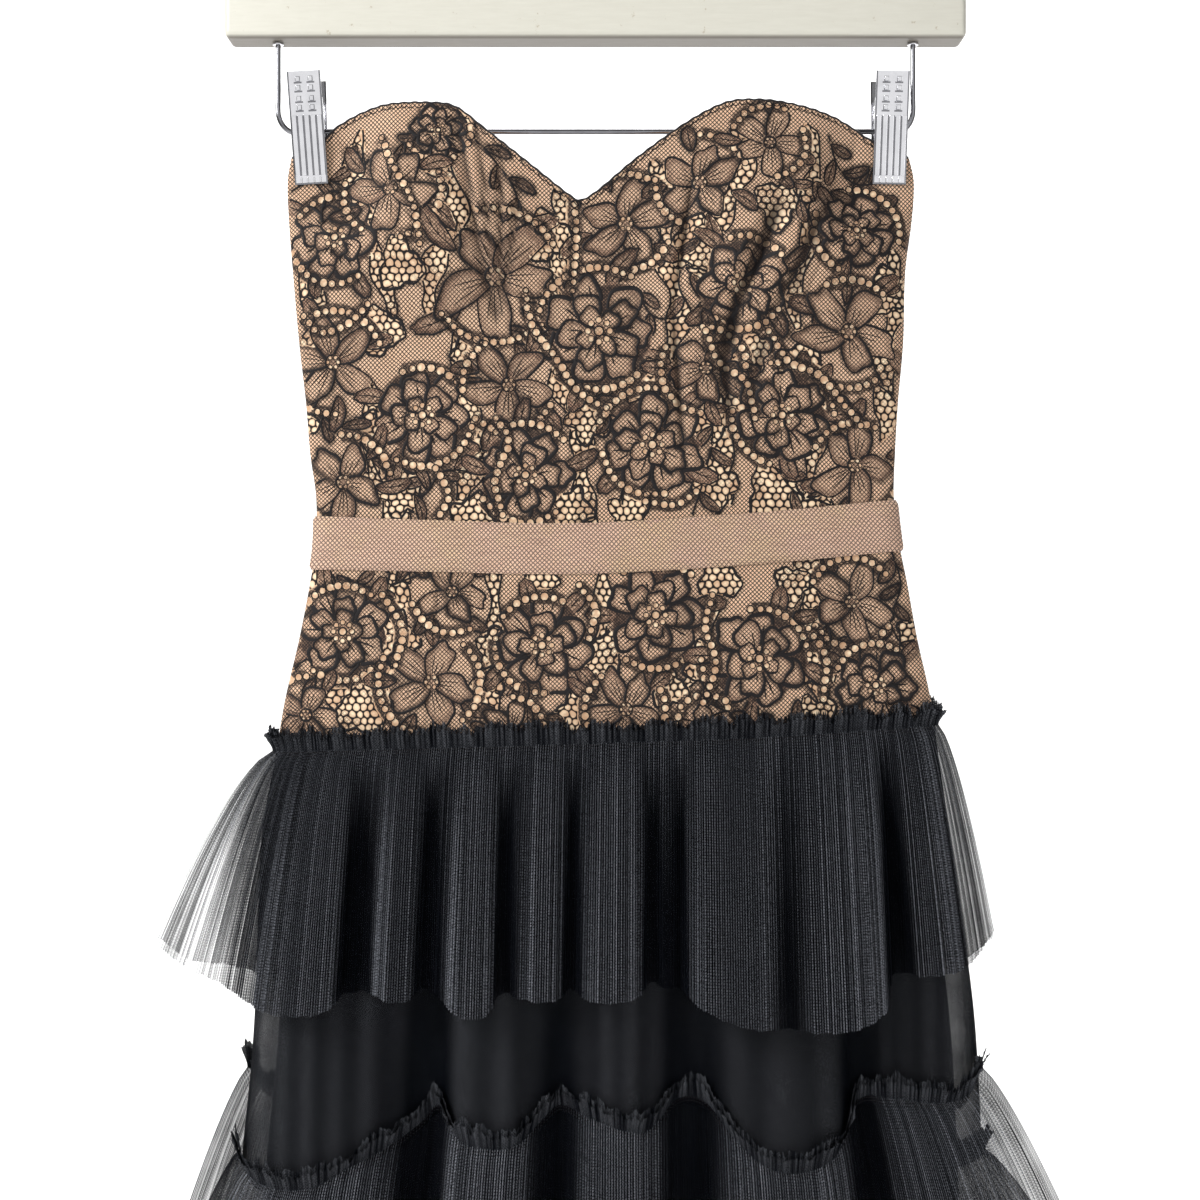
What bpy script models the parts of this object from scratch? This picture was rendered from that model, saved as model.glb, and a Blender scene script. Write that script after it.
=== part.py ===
"""Strapless lace dress with a ribbon belt and tulle tiers, held flat by a clip hanger.

Metres, +Z up. The front of the dress faces -Y and +X is to the right as seen from the front.
The origin is the inner top of the hanger's hook, where a rail carries it. Sizes below are in
millimetres, and heights are given as drops below the origin.
"""
import math

import bmesh
import bpy
import numpy as np
from mathutils import Vector

MM = 0.001

# Cloth
SEAM_HALF_GAP = 0.15
SEAM_SLANT_GAP = 0.195
TIP_RADIUS = 2.6
LAY_GAP = 0.3
BODICE_WALL = 1.2
TULLE_WALL = 1.1
BELT_WALL = 1.5
ROW_CROWDING = 1.25
CAP_LENGTH = 12.0

# Hanger
HOOK_WIRE_RADIUS = 2.0
HOOK_INNER_RADIUS = 20.0
BAR_LENGTH = 445.0
BAR_DEPTH = 23.0
BAR_TOP_DROP = 80.0
BAR_BOTTOM_DROP = 124.0
ROD_DROP = 177.7
WIRE_RADIUS = 1.6
RISER_X = 192.0
# Bend at a riser's foot: distance inward, drop
RISER_BEND = ((0.0, 145.0), (0.0, 166.0), (1.2, 171.0), (3.8, 175.0), (7.5, 177.7), (11.0, 177.7))
# Bend between the hook's stem and its loop: x, drop
HOOK_BEND = ((0.0, 62.0), (0.6, 56.0), (4.5, 48.0), (10.5, 41.5), (16.5, 35.0))
HOOK_ARC = (-22.0, 205.0)
FERRULE_RADIUS = 5.0
FERRULE_HEIGHT = 4.0
BAR_EDGE_RADIUS = 3.0
CLIP_WIDTH = 20.0
CLIP_TOP_DROP = 144.0
CLIP_BOTTOM_DROP = 210.5
CLIP_PLATE = 1.2
CLIP_REACH = 1.8
CLIP_SLOPE = 0.13
# Turned-in edges of a clip: drop, depth of the turn
CLIP_FLANGES = (
    (144.0, 2.0),
    (166.0, 4.5),
    (171.0, 6.6),
    (178.8, 5.6),
    (181.0, 1.2),
    (207.5, 0.9),
    (210.5, 0.4),
)
CLIP_TOP_X = {"left": -174.9, "right": 178.2}
CLIP_BOTTOM_X = {"left": -171.3, "right": 177.2}

# Side edges of the bodice and of the hip yoke: drop, left x, right x
BODICE_SIDES = (
    (193.0, -184.0, 189.5),
    (208.0, -186.3, 192.6),
    (232.0, -185.5, 191.3),
    (262.0, -183.2, 187.5),
    (305.0, -179.4, 186.2),
    (342.0, -175.2, 183.0),
    (373.0, -172.6, 181.2),
    (400.0, -169.0, 180.6),
    (430.0, -169.6, 184.4),
    (450.0, -172.6, 188.4),
    (484.0, -179.2, 194.6),
    (522.0, -188.0, 203.0),
    (552.0, -193.0, 207.0),
)
# Neckline of the front: x, drop
FRONT_NECK = (
    (-190.0, 199.0),
    (-181.0, 192.0),
    (-163.0, 182.5),
    (-157.0, 176.5),
    (-142.0, 168.2),
    (-124.0, 163.5),
    (-92.0, 163.2),
    (-82.0, 166.5),
    (-68.0, 177.5),
    (-34.0, 204.5),
    (-16.0, 218.5),
    (-9.4, 221.8),
    (0.0, 217.0),
    (24.0, 197.0),
    (54.0, 175.5),
    (78.0, 163.0),
    (96.0, 161.0),
    (114.0, 162.8),
    (142.0, 170.0),
    (155.0, 176.5),
    (165.0, 183.0),
    (186.0, 191.0),
    (194.0, 199.0),
)
# Top edge of the back: x, drop
BACK_NECK = (
    (-190.0, 199.0),
    (-181.0, 192.0),
    (-163.0, 185.0),
    (-120.0, 205.0),
    (-60.0, 224.0),
    (0.0, 231.0),
    (64.0, 224.0),
    (125.0, 205.0),
    (168.0, 185.0),
    (186.0, 191.0),
    (194.0, 199.0),
)
# Waist seam under the belt, and the seam where the first tier is set on: x, drop
WAIST = ((-175.0, 426.5), (-90.0, 428.5), (-10.0, 430.0), (97.0, 424.0), (190.0, 415.0))
HIP = ((-200.0, 552.0), (-100.0, 548.5), (0.0, 545.5), (110.0, 541.5), (215.0, 535.0))
# Seams of the panels: drop, x
CENTRE_FRONT = ((221.0, -9.4), (260.0, -13.0), (320.0, -13.0), (355.0, -8.5), (432.0, -9.0))
PRINCESS_LEFT = (
    (176.0, -158.0),
    (217.0, -141.5),
    (264.0, -110.0),
    (299.0, -86.0),
    (325.0, -73.0),
    (408.0, -64.0),
    (432.0, -63.0),
)
PRINCESS_RIGHT = (
    (176.0, 156.0),
    (214.0, 152.5),
    (242.0, 143.5),
    (267.0, 131.0),
    (297.0, 119.0),
    (332.0, 111.5),
    (432.0, 108.0),
)
BACK_SEAM_LEFT = ((185.0, -104.0), (300.0, -84.0), (432.0, -72.0))
BACK_SEAM_RIGHT = ((185.0, 108.0), (300.0, 92.0), (432.0, 84.0))
YOKE_SEAM_LEFT = ((415.0, -92.0), (480.0, -96.0), (556.0, -103.0))
YOKE_SEAM_RIGHT = ((415.0, 120.0), (480.0, 124.0), (556.0, 131.0))
YOKE_BACK_LEFT = ((415.0, -88.0), (556.0, -100.0))
YOKE_BACK_RIGHT = ((415.0, 98.0), (556.0, 110.0))
CENTRE_BACK_LEFT = ((180.0, 0.8), (560.0, 3.8))
CENTRE_BACK_RIGHT = ((180.0, 5.2), (560.0, 8.2))

# Bust cups: centre x, centre drop, half width, half height, fullness
CUPS = ((-110.0, 238.0, 62.0, 50.0, 15.0), (118.0, 238.0, 62.0, 50.0, 15.0))
# Soft folds in the cloth of the front: top x, top drop, bottom x, bottom drop, half width, height
FRONT_FOLDS = (
    (-84.0, 182.0, -60.0, 290.0, 6.0, -2.0),
    (-72.0, 186.0, -59.0, 296.0, 5.0, 1.8),
    (-62.0, 192.0, -58.0, 292.0, 5.0, -1.8),
    (-49.0, 200.0, -56.0, 284.0, 5.5, 1.6),
    (57.0, 206.0, 46.0, 286.0, 6.0, -2.0),
    (46.0, 286.0, 53.0, 372.0, 6.0, -1.6),
    (110.0, 226.0, 85.0, 282.0, 8.0, -3.4),
    (85.0, 282.0, 80.0, 345.0, 7.0, -2.6),
    (92.0, 206.0, 72.0, 280.0, 7.0, 2.0),
    (-150.0, 300.0, -104.0, 330.0, 8.0, -1.4),
    (150.0, 330.0, 122.0, 372.0, 8.0, -1.4),
)
BACK_FOLDS = (
    (-128.0, 232.0, -96.0, 320.0, 9.0, -2.0),
    (130.0, 232.0, 100.0, 318.0, 9.0, -2.0),
    (-46.0, 330.0, -28.0, 410.0, 8.0, -1.6),
    (50.0, 326.0, 34.0, 408.0, 8.0, -1.6),
)
FRONT_BASE_DEPTH = 4.0
FRONT_LENS_DEPTH = 7.0
BACK_LENS_DEPTH = 7.5
HIP_EXTRA_DEPTH = 8.0
PINCHED_DEPTH = 1.5
PINCHED_TOP_DEPTH = 3.5
PINCH_HALF_WIDTH = 19.0
PINCH_BELOW = 5.0
PINCH_FADE = 34.0
PINCH_TOP_DROP = 192.0
PINCH_TOP_FADE = 12.0
HIP_SWELL_DROP = 440.0
HIP_SWELL_LENGTH = 110.0

# Ribbon belt: x, top drop, bottom drop
BELT_EDGES = (
    (-178.0, 410.0, 442.5),
    (-100.0, 413.0, 444.0),
    (-10.0, 415.0, 445.5),
    (97.0, 408.5, 439.5),
    (190.0, 399.5, 430.8),
)
BELT_END_HALF_GAP = 3.5
BELT_STAND_OFF = 0.85
HEADER_STAND_OFF = 0.9

# First ruffle's hem, front then back, from its left tip to its right tip: x, drop, distance out
TIER_ONE_FRONT = (
    (-265.0, 670.0, 0.0),
    (-245.0, 682.0, 9.0),
    (-224.0, 690.0, 13.0),
    (-206.0, 699.0, 22.0),
    (-192.0, 703.5, 33.0),
    (-172.0, 704.0, 37.0),
    (-158.0, 702.0, 33.0),
    (-150.0, 695.0, 22.0),
    (-136.0, 692.5, 23.0),
    (-122.0, 695.5, 37.0),
    (-110.0, 695.5, 34.0),
    (-102.0, 691.0, 21.0),
    (-92.0, 694.0, 30.0),
    (-80.0, 702.5, 42.0),
    (-64.0, 703.0, 40.0),
    (-56.0, 693.0, 24.0),
    (-46.0, 694.0, 34.0),
    (-32.0, 695.0, 41.0),
    (-20.0, 694.0, 34.0),
    (-15.0, 690.0, 25.0),
    (-4.0, 694.0, 40.0),
    (12.0, 694.5, 44.0),
    (26.0, 692.5, 36.0),
    (32.0, 687.0, 24.0),
    (42.0, 689.0, 31.0),
    (51.0, 690.0, 27.0),
    (58.0, 696.0, 40.0),
    (76.0, 704.0, 49.0),
    (94.0, 708.5, 52.0),
    (112.0, 709.0, 46.0),
    (128.0, 709.5, 53.0),
    (146.0, 708.5, 54.0),
    (162.0, 704.5, 46.0),
    (171.0, 699.0, 34.0),
    (176.0, 684.0, 20.0),
    (194.0, 683.5, 24.0),
    (210.0, 683.0, 20.0),
    (222.0, 681.0, 10.0),
    (232.0, 672.0, 6.0),
    (241.0, 661.0, 0.0),
)
# Lower edge of the tulle between the tiers, front only: x, drop, distance out
SKIRT_FRONT = (
    (-218.0, 792.0, 0.0),
    (-206.0, 808.0, 15.0),
    (-188.0, 813.0, 27.0),
    (-166.0, 811.0, 32.0),
    (-146.0, 801.0, 28.0),
    (-128.0, 793.0, 20.0),
    (-106.0, 780.0, 10.0),
    (-92.0, 768.0, 12.0),
    (-80.0, 784.0, 26.0),
    (-64.0, 788.0, 32.0),
    (-48.0, 787.0, 31.0),
    (-34.0, 775.0, 22.0),
    (-21.0, 766.0, 18.0),
    (-2.0, 772.0, 26.0),
    (16.0, 778.0, 30.0),
    (30.0, 779.0, 26.0),
    (48.0, 763.0, 16.0),
    (66.0, 764.0, 18.0),
    (86.0, 786.0, 32.0),
    (102.0, 798.0, 38.0),
    (126.0, 799.0, 37.0),
    (143.0, 790.0, 26.0),
    (154.0, 766.0, 11.0),
    (180.0, 764.0, 14.0),
    (204.0, 766.0, 15.0),
    (222.0, 763.0, 9.0),
    (232.0, 748.0, 0.0),
)
# Second ruffle's hem, front: x, drop, distance out
TIER_TWO_FRONT = (
    (-266.0, 902.0, 0.0),
    (-248.0, 914.0, 14.0),
    (-226.0, 922.0, 30.0),
    (-200.0, 929.0, 46.0),
    (-178.0, 930.0, 40.0),
    (-156.0, 931.0, 50.0),
    (-134.0, 925.0, 40.0),
    (-118.0, 915.0, 26.0),
    (-104.0, 908.0, 24.0),
    (-88.0, 920.0, 44.0),
    (-64.0, 925.0, 54.0),
    (-42.0, 918.0, 42.0),
    (-24.0, 908.0, 30.0),
    (-4.0, 916.0, 46.0),
    (20.0, 919.0, 52.0),
    (42.0, 912.0, 38.0),
    (60.0, 906.0, 32.0),
    (82.0, 922.0, 52.0),
    (108.0, 930.0, 62.0),
    (136.0, 930.0, 58.0),
    (158.0, 918.0, 40.0),
    (174.0, 904.0, 26.0),
    (198.0, 908.0, 38.0),
    (224.0, 909.0, 40.0),
    (250.0, 904.0, 30.0),
    (272.0, 896.0, 18.0),
    (292.0, 882.0, 8.0),
    (302.0, 872.0, 0.0),
)
# Side edges of the tulle between the tiers: drop, left x, right x
SKIRT_SIDES = (
    (535.0, -190.5, 205.0),
    (552.0, -193.0, 207.0),
    (600.0, -201.5, 214.0),
    (642.0, -203.8, 220.0),
    (701.0, -205.6, 228.0),
    (745.0, -208.5, 231.5),
    (800.0, -214.0, 234.0),
    (930.0, -222.0, 240.0),
)
# Where each column of a ruffle starts at its seam: hem x, seam x
TIER_ONE_SPREAD = (
    (-265.0, -196.5),
    (-206.0, -181.0),
    (-150.0, -143.0),
    (0.0, 1.0),
    (150.0, 148.0),
    (200.0, 188.0),
    (241.0, 209.0),
)
TIER_TWO_SPREAD = (
    (-266.0, -215.0),
    (-200.0, -180.0),
    (-118.0, -106.0),
    (0.0, 0.0),
    (136.0, 126.0),
    (250.0, 204.0),
    (302.0, 234.5),
)
PLEAT_DEPTH = 0.9
HEADER_HEIGHT = 12.0
HEADER_LEAN = 2.2
SEAM_ABOVE_SKIRT_EDGE = 6.0
LINING_INSET = 15.0
LINING_HEM_DROP = 905.0
LINING_TOP_INSET = 1.9
LINING_INSET_FADE = 60.0
LINING_SIDE_DEPTH = 4.0
LINING_LENS_DEPTH = 8.0
LINING_LEAST_DEPTH = 2.2
LINING_SEAM_GAP = 0.6
LINING_CLEARANCE = 2.45
LINING_CAP_LENGTH = 7.0
LINING_TIP_RADIUS = 1.9
LINING_LOOKS_ASIDE = (-9.0, -4.0, 0.0, 4.0, 9.0)
HIP_LEFT_X = -192.0
HIP_RIGHT_X = 206.0
HIP_SEAM_DROP = 545.0
HIP_LOW_DROP = 552.0
LOWEST_SEWN_DROP = 770.0
SKIRT_CAP_LENGTH = 8.0
TIER_CLEARANCE = 3.42
HEADER_CLEARANCE = 2.66

COLOURS = {
    "lace": ((0.36, 0.22, 0.14, 1.0), 0.8, 0.0),
    "ribbon": ((0.53, 0.32, 0.22, 1.0), 0.55, 0.0),
    "tulle": ((0.012, 0.014, 0.018, 1.0), 0.7, 0.0),
    "lining": ((0.006, 0.006, 0.008, 1.0), 0.5, 0.0),
    "paint": ((0.78, 0.77, 0.74, 1.0), 0.4, 0.0),
    "chrome": ((0.72, 0.73, 0.75, 1.0), 0.12, 1.0),
    "zip": ((0.03, 0.025, 0.022, 1.0), 0.5, 0.0),
}


def clear_scene():
    for old in list(bpy.data.objects):
        bpy.data.objects.remove(old)


def material(kind):
    found = bpy.data.materials.get(kind)
    if found:
        return found
    colour, roughness, metallic = COLOURS[kind]
    made = bpy.data.materials.new(kind)
    made.use_nodes = True
    shader = made.node_tree.nodes["Principled BSDF"]
    shader.inputs["Base Color"].default_value = colour
    shader.inputs["Roughness"].default_value = roughness
    shader.inputs["Metallic"].default_value = metallic
    made.diffuse_color = colour
    return made


def read_table(table, column, at):
    """Smooth value of one column of a table whose first column rises."""
    keys = [row[0] for row in table]
    values = [row[column] for row in table]
    if at <= keys[0]:
        return values[0]
    if at >= keys[-1]:
        return values[-1]
    i = max(k for k in range(len(keys) - 1) if keys[k] <= at)
    slopes = []
    for k in (i, i + 1):
        low = max(k - 1, 0)
        high = min(k + 1, len(keys) - 1)
        slopes.append((values[high] - values[low]) / (keys[high] - keys[low]))
    step = keys[i + 1] - keys[i]
    u = (at - keys[i]) / step
    start = values[i] * (2 * u**3 - 3 * u**2 + 1) + slopes[0] * step * (u**3 - 2 * u**2 + u)
    end = values[i + 1] * (3 * u**2 - 2 * u**3) + slopes[1] * step * (u**3 - u**2)
    return start + end


def ease(u):
    u = min(1.0, max(0.0, u))
    return u * u * (3.0 - 2.0 * u)


def mix(a, b, u):
    return a + (b - a) * u


def world(x, y, drop):
    return Vector((x * MM, y * MM, -drop * MM))


def side_edges(drop):
    return read_table(BODICE_SIDES, 1, drop), read_table(BODICE_SIDES, 2, drop)


def fold_height(folds, x, drop):
    total = 0.0
    for top_x, top_drop, low_x, low_drop, half_width, height in folds:
        run = (drop - top_drop) / (low_drop - top_drop)
        if 0.0 < run < 1.0:
            across = (x - mix(top_x, low_x, run)) / half_width
            total += height * math.sin(math.pi * run) ** 0.7 * math.exp(-across * across)
    return total


def clip_pinch(x, drop):
    """How far the clips press the cloth together at a point, 0 to 1."""
    held = 0.0
    for side in ("left", "right"):
        across = max(0.0, abs(x - CLIP_BOTTOM_X[side]) - PINCH_HALF_WIDTH)
        below = max(0.0, drop - CLIP_BOTTOM_DROP - PINCH_BELOW)
        held = max(held, 1.0 - ease(math.hypot(across, below) / PINCH_FADE))
    return held


def cloth_depth(face, x, drop):
    """Distance of the cloth's outside from the middle plane, before the sides round off."""
    left, right = side_edges(drop)
    middle = 0.5 * (left + right)
    across = min(1.0, abs(x - middle) / (0.5 * (right - left)))
    lens = 1.0 - across * across
    hip = HIP_EXTRA_DEPTH * ease((drop - HIP_SWELL_DROP) / HIP_SWELL_LENGTH)
    if face == "front":
        depth = FRONT_BASE_DEPTH + FRONT_LENS_DEPTH * lens
        for centre_x, centre_drop, half_x, half_drop, fullness in CUPS:
            reach = ((x - centre_x) / half_x) ** 2 + ((drop - centre_drop) / half_drop) ** 2
            depth += fullness * math.exp(-reach)
        depth += fold_height(FRONT_FOLDS, x, drop)
    else:
        depth = FRONT_BASE_DEPTH + BACK_LENS_DEPTH * lens
        depth += fold_height(BACK_FOLDS, x, drop)
    depth += hip * math.sqrt(lens)
    pinched = mix(PINCHED_DEPTH, PINCHED_TOP_DEPTH, ease((PINCH_TOP_DROP - drop) / PINCH_TOP_FADE))
    return mix(depth, pinched, clip_pinch(x, drop))


def solid_from_walls(name, kind, outer, inner, smooth=True):
    """One closed solid between two grids of points, rows by columns."""
    rows = len(outer)
    columns = len(outer[0])
    mesh = bpy.data.meshes.new(name)
    build = bmesh.new()
    skins = []
    for grid in (outer, inner):
        skins.append([[build.verts.new(world(*point)) for point in row] for row in grid])
    for r in range(rows - 1):
        for c in range(columns - 1):
            d = c + 1
            build.faces.new((skins[0][r][c], skins[0][r][d], skins[0][r + 1][d], skins[0][r + 1][c]))
            build.faces.new((skins[1][r][d], skins[1][r][c], skins[1][r + 1][c], skins[1][r + 1][d]))
    for c in range(columns - 1):
        d = c + 1
        build.faces.new((skins[0][0][d], skins[0][0][c], skins[1][0][c], skins[1][0][d]))
        build.faces.new((skins[0][-1][c], skins[0][-1][d], skins[1][-1][d], skins[1][-1][c]))
    for r in range(rows - 1):
        build.faces.new((skins[0][r][0], skins[0][r + 1][0], skins[1][r + 1][0], skins[1][r][0]))
        build.faces.new((skins[0][r + 1][-1], skins[0][r][-1], skins[1][r][-1], skins[1][r + 1][-1]))
    bmesh.ops.triangulate(build, faces=build.faces[:], quad_method="FIXED")
    if build.calc_volume(signed=True) < 0.0:
        bmesh.ops.reverse_faces(build, faces=build.faces[:])
    build.to_mesh(mesh)
    build.free()
    return place(name, kind, mesh, smooth)


def place(name, kind, mesh, smooth=True):
    piece = bpy.data.objects.new(name, mesh)
    bpy.context.scene.collection.objects.link(piece)
    piece.data.materials.clear()
    piece.data.materials.append(material(kind))
    if smooth:
        mesh.shade_smooth()
        mesh.set_sharp_from_angle(angle=math.radians(40.0))
    return piece


def cap_factor(x, drop, inset):
    """Roundness of the section near its two side edges: 0 at the edge, 1 on the flat."""
    left, right = side_edges(drop)
    near = min(x - left - inset, right - inset - x)
    u = min(1.0, max(0.0, near / (CAP_LENGTH - inset)))
    return math.sqrt(max(0.0, 1.0 - (1.0 - u) ** 2))


def panel_point(face, x, drop, inset):
    """Point of a panel's outside, or of its inside when inset is the wall."""
    depth = (cloth_depth(face, x, drop) - inset) * cap_factor(x, drop, inset)
    depth = max(SEAM_HALF_GAP, depth)
    return (x, -depth if face == "front" else depth, drop)


def panel(name, face, start, end, top, bottom, columns, rows):
    """Panel between two seams and two cross lines. A seam is a table, or the word side."""
    outer = []
    inner = []
    for r in range(rows + 1):
        outer_row = []
        inner_row = []
        for c in range(columns + 1):
            for grid, inset in ((outer_row, 0.0), (inner_row, BODICE_WALL)):
                down = (r / rows) ** ROW_CROWDING
                grid.append(panel_grid_point(face, start, end, top, bottom, c / columns, down, inset))
        outer.append(outer_row)
        inner.append(inner_row)
    return solid_from_walls(name, "lace", outer, inner)


def panel_grid_point(face, start, end, top, bottom, across, down, inset):
    x = 0.0
    drop = 300.0
    for _ in range(12):
        left = seam_x(start, drop, inset, 1)
        right = seam_x(end, drop, inset, -1)
        share = across
        if start == "side":
            share = spread_from_side(across)
        if end == "side":
            share = 1.0 - spread_from_side(1.0 - across)
        x = mix(left, right, share)
        low = read_table(bottom, 1, x) - SEAM_HALF_GAP
        high = read_table(top, 1, x)
        if top in (WAIST, HIP):
            high += SEAM_HALF_GAP
        drop = mix(high, low, down)
    return panel_point(face, x, drop, inset)


def spread_from_side(u):
    """Columns crowd towards the side edge, where the section turns round."""
    return u ** 2.2


def seam_x(seam, drop, inset, direction):
    if seam == "side":
        left, right = side_edges(drop)
        return left + inset if direction > 0 else right - inset
    return read_table(seam, 1, drop) + direction * SEAM_SLANT_GAP


def front_and_back(name, kind, outer, inner):
    """Splits a tube at its two side seams into a front and a back solid."""
    count = len(outer[0])
    half = count // 2
    columns = {"front": list(range(half + 1)), "back": list(range(half, count)) + [0]}
    for face, chosen in columns.items():
        grids = []
        for grid in (outer, inner):
            rows = []
            for row in grid:
                points = [row[c] for c in chosen]
                for end in (0, -1):
                    points[end] = (points[end][0], signed(face, SEAM_HALF_GAP), points[end][2])
                rows.append(points)
            grids.append(rows)
        solid_from_walls(name + "_" + face, kind, grids[0], grids[1])


def ring_shares(count):
    """Places across a section from its left tip to its right tip, closer at the tips."""
    inner = [(k + 1) / (count + 1) for k in range(count)]
    tips = [0.0, 0.0025, 0.008]
    middle = [mix(0.018, 0.982, u) for u in inner]
    return tips + middle + [1.0 - tip for tip in reversed(tips)]


def closed_section(count, point):
    """Columns all round: the front from left to right, then the back from right to left."""
    shares = ring_shares(count)
    front = [point("front", share) for share in shares]
    back = [point("back", share) for share in reversed(shares[1:-1])]
    return front + back


def offset_section(section, distance, closed=True):
    """Moves each point of a section out, level with itself, by one distance or a list of them."""
    moved = []
    count = len(section)
    for i, (x, y, drop) in enumerate(section):
        before = section[(i - 1) % count] if closed or i > 0 else section[i]
        after = section[(i + 1) % count] if closed or i < count - 1 else section[i]
        steps = []
        for a, b in ((before, section[i]), (section[i], after)):
            run = Vector((b[0] - a[0], b[1] - a[1]))
            if run.length > 0.0:
                steps.append(run.normalized())
        along = (steps[0] + steps[-1]).normalized()
        miter = min(1.4, 1.0 / max(0.5, along.dot(steps[0])))
        out = miter * (distance[i] if isinstance(distance, list) else distance)
        moved.append((x + along.y * out, y - along.x * out, drop))
    return moved


def round_tip(near, radius=TIP_RADIUS):
    u = min(1.0, max(0.0, near / radius))
    return math.sqrt(max(0.0, 1.0 - (1.0 - u) ** 2))


def signed(face, depth):
    return -depth if face == "front" else depth


def mirrored_x(face, x, left, right):
    """The back repeats the front's folds the other way round, scaled between its own tips."""
    return x if face == "front" else left + right - x


def skirt_edges(drop):
    return read_table(SKIRT_SIDES, 1, drop), read_table(SKIRT_SIDES, 2, drop)


def skirt_depth(face, x, drop):
    """Outside of the plain tulle between the tiers."""
    left, right = skirt_edges(drop)
    near = min(x - left, right - x)
    if near <= 0.0:
        return 0.0
    look = mirrored_x(face, x, left, right)
    low_depth = read_table(SKIRT_FRONT, 2, look) * (1.0 if face == "front" else 0.85)
    low_drop = read_table(SKIRT_FRONT, 1, look)
    hip_drop = read_table(HIP, 1, x)
    u = (drop - hip_drop) / (low_drop - hip_drop)
    depth = mix(hip_seam_depth(face, x), low_depth, min(1.3, max(0.0, u)) ** 1.5)
    cap = mix(CAP_LENGTH, SKIRT_CAP_LENGTH, min(1.0, max(0.0, u)))
    return max(depth * round_tip(near, cap), TIP_RADIUS * round_tip(near))


def hip_seam_depth(face, x):
    """Depth of the yoke's outside where the skirt hangs from it."""
    return cloth_depth(face, min(HIP_RIGHT_X, max(HIP_LEFT_X, x)), HIP_SEAM_DROP)


def skirt_section(drop_at, count):
    """Section of the tulle along a cross line given as a function of x."""

    def point(face, share):
        drop = 700.0
        x = 0.0
        for _ in range(10):
            left, right = skirt_edges(drop)
            x = mix(left, right, share)
            drop = drop_at(face, x, left, right)
        return x, signed(face, skirt_depth(face, x, drop)), drop

    return closed_section(count, point)


def skirt_low_drop(face, x, left, right):
    return read_table(SKIRT_FRONT, 1, mirrored_x(face, x, left, right))


def tulle_skirt(count, spans):
    outer = []
    for r in range(spans + 1):
        down = r / spans

        def level(face, x, left, right):
            top = read_table(HIP, 1, x) + 2.0 * SEAM_HALF_GAP
            return mix(top, skirt_low_drop(face, x, left, right), down)

        outer.append(skirt_section(level, count))
    inner = [offset_section(row, -TULLE_WALL) for row in outer]
    front_and_back("underskirt", "tulle", outer, inner)


def skirt_lining(count, spans):
    """Opaque lining inside the tulle, with fewer and softer folds."""
    outer = []
    for r in range(spans + 1):
        down = r / spans

        def point(face, share):
            drop = 700.0
            x = 0.0
            for _ in range(8):
                left, right = skirt_edges(drop)
                inset = mix(LINING_TOP_INSET, LINING_INSET, ease((drop - HIP_LOW_DROP) / LINING_INSET_FADE))
                x = mix(left + inset, right - inset, share)
                drop = mix(read_table(HIP, 1, x) + SEAM_HALF_GAP, LINING_HEM_DROP, down)
            left, right = skirt_edges(drop)
            near = min(x - left, right - x) - inset
            lens = 1.0 - abs(2.0 * share - 1.0) ** 3
            wave = 1.0 + 0.25 * math.sin(share * 23.0 + (0.0 if face == "front" else 1.7))
            free = (LINING_SIDE_DEPTH + LINING_LENS_DEPTH * lens) * mix(1.0, wave, ease(down * 1.4))
            level = min(drop, LOWEST_SEWN_DROP)
            nearby = [skirt_depth(face, x + aside, level) for aside in LINING_LOOKS_ASIDE]
            limit = min(depth for depth in nearby if depth > 0.0) - LINING_CLEARANCE
            seam = hip_seam_depth(face, x) - TULLE_WALL - LINING_SEAM_GAP
            depth = mix(seam, free, ease(down * 4.0))
            depth = min(depth, max(limit, LINING_LEAST_DEPTH))
            tip = LINING_TIP_RADIUS * round_tip(near, LINING_TIP_RADIUS)
            return x, signed(face, max(depth * round_tip(near, LINING_CAP_LENGTH), tip)), drop

        outer.append(closed_section(count, point))
    inner = [offset_section(row, -TULLE_WALL) for row in outer]
    front_and_back("skirt_lining", "lining", outer, inner)


def ruffle(name, hem, top_section, flare, count, spans, clear_of_skirt):
    """Gathered tier: its seam follows a section, its hem the folds in a table."""
    left = hem[0][0]
    right = hem[-1][0]

    def hem_point(face, share):
        x = mix(left, right, share)
        look = mirrored_x(face, x, left, right)
        out = read_table(hem, 2, look) * (1.0 if face == "front" else 0.9)
        near = min(x - left, right - x)
        depth = max(out, TIP_RADIUS * round_tip(near))
        drop = read_table(hem, 1, x)
        if face == "back":
            drop = mix(drop, read_table(hem, 1, look), 0.5)
        return x, signed(face, depth), drop

    low = closed_section(count, hem_point)
    outer = []
    for r in range(spans + 1):
        v = r / spans
        row = []
        for start, end in zip(top_section, low):
            x = mix(start[0], end[0], v ** flare)
            y = mix(start[1], end[1], v ** 0.85)
            drop = mix(start[2], end[2], v)
            if clear_of_skirt and r > 0:
                y = outside_skirt(x, y, drop, TIER_CLEARANCE)
            row.append((x, y, drop))
        outer.append(offset_section(row, pleats(len(row), v)))
    inner = [offset_section(row, -TULLE_WALL) for row in outer]
    front_and_back(name, "tulle", outer, inner)


def pleats(count, down):
    """Fine pleats: columns lie in and out by turns, flat at the side seams and at the top seam."""
    depth = PLEAT_DEPTH * ease(down * 4.0)
    half = count // 2
    flat = 4
    return [0.0 if min(c % half, half - c % half) < flat else depth * (-1.0) ** c for c in range(count)]


def outside_skirt(x, y, drop, clearance):
    """Keeps a point of a tier outside the plain tulle at the same height."""
    face = "front" if y < 0.0 else "back"
    depth = skirt_depth(face, x, drop)
    if depth <= 0.0:
        return y
    return signed(face, max(abs(y), depth + clearance))


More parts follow.
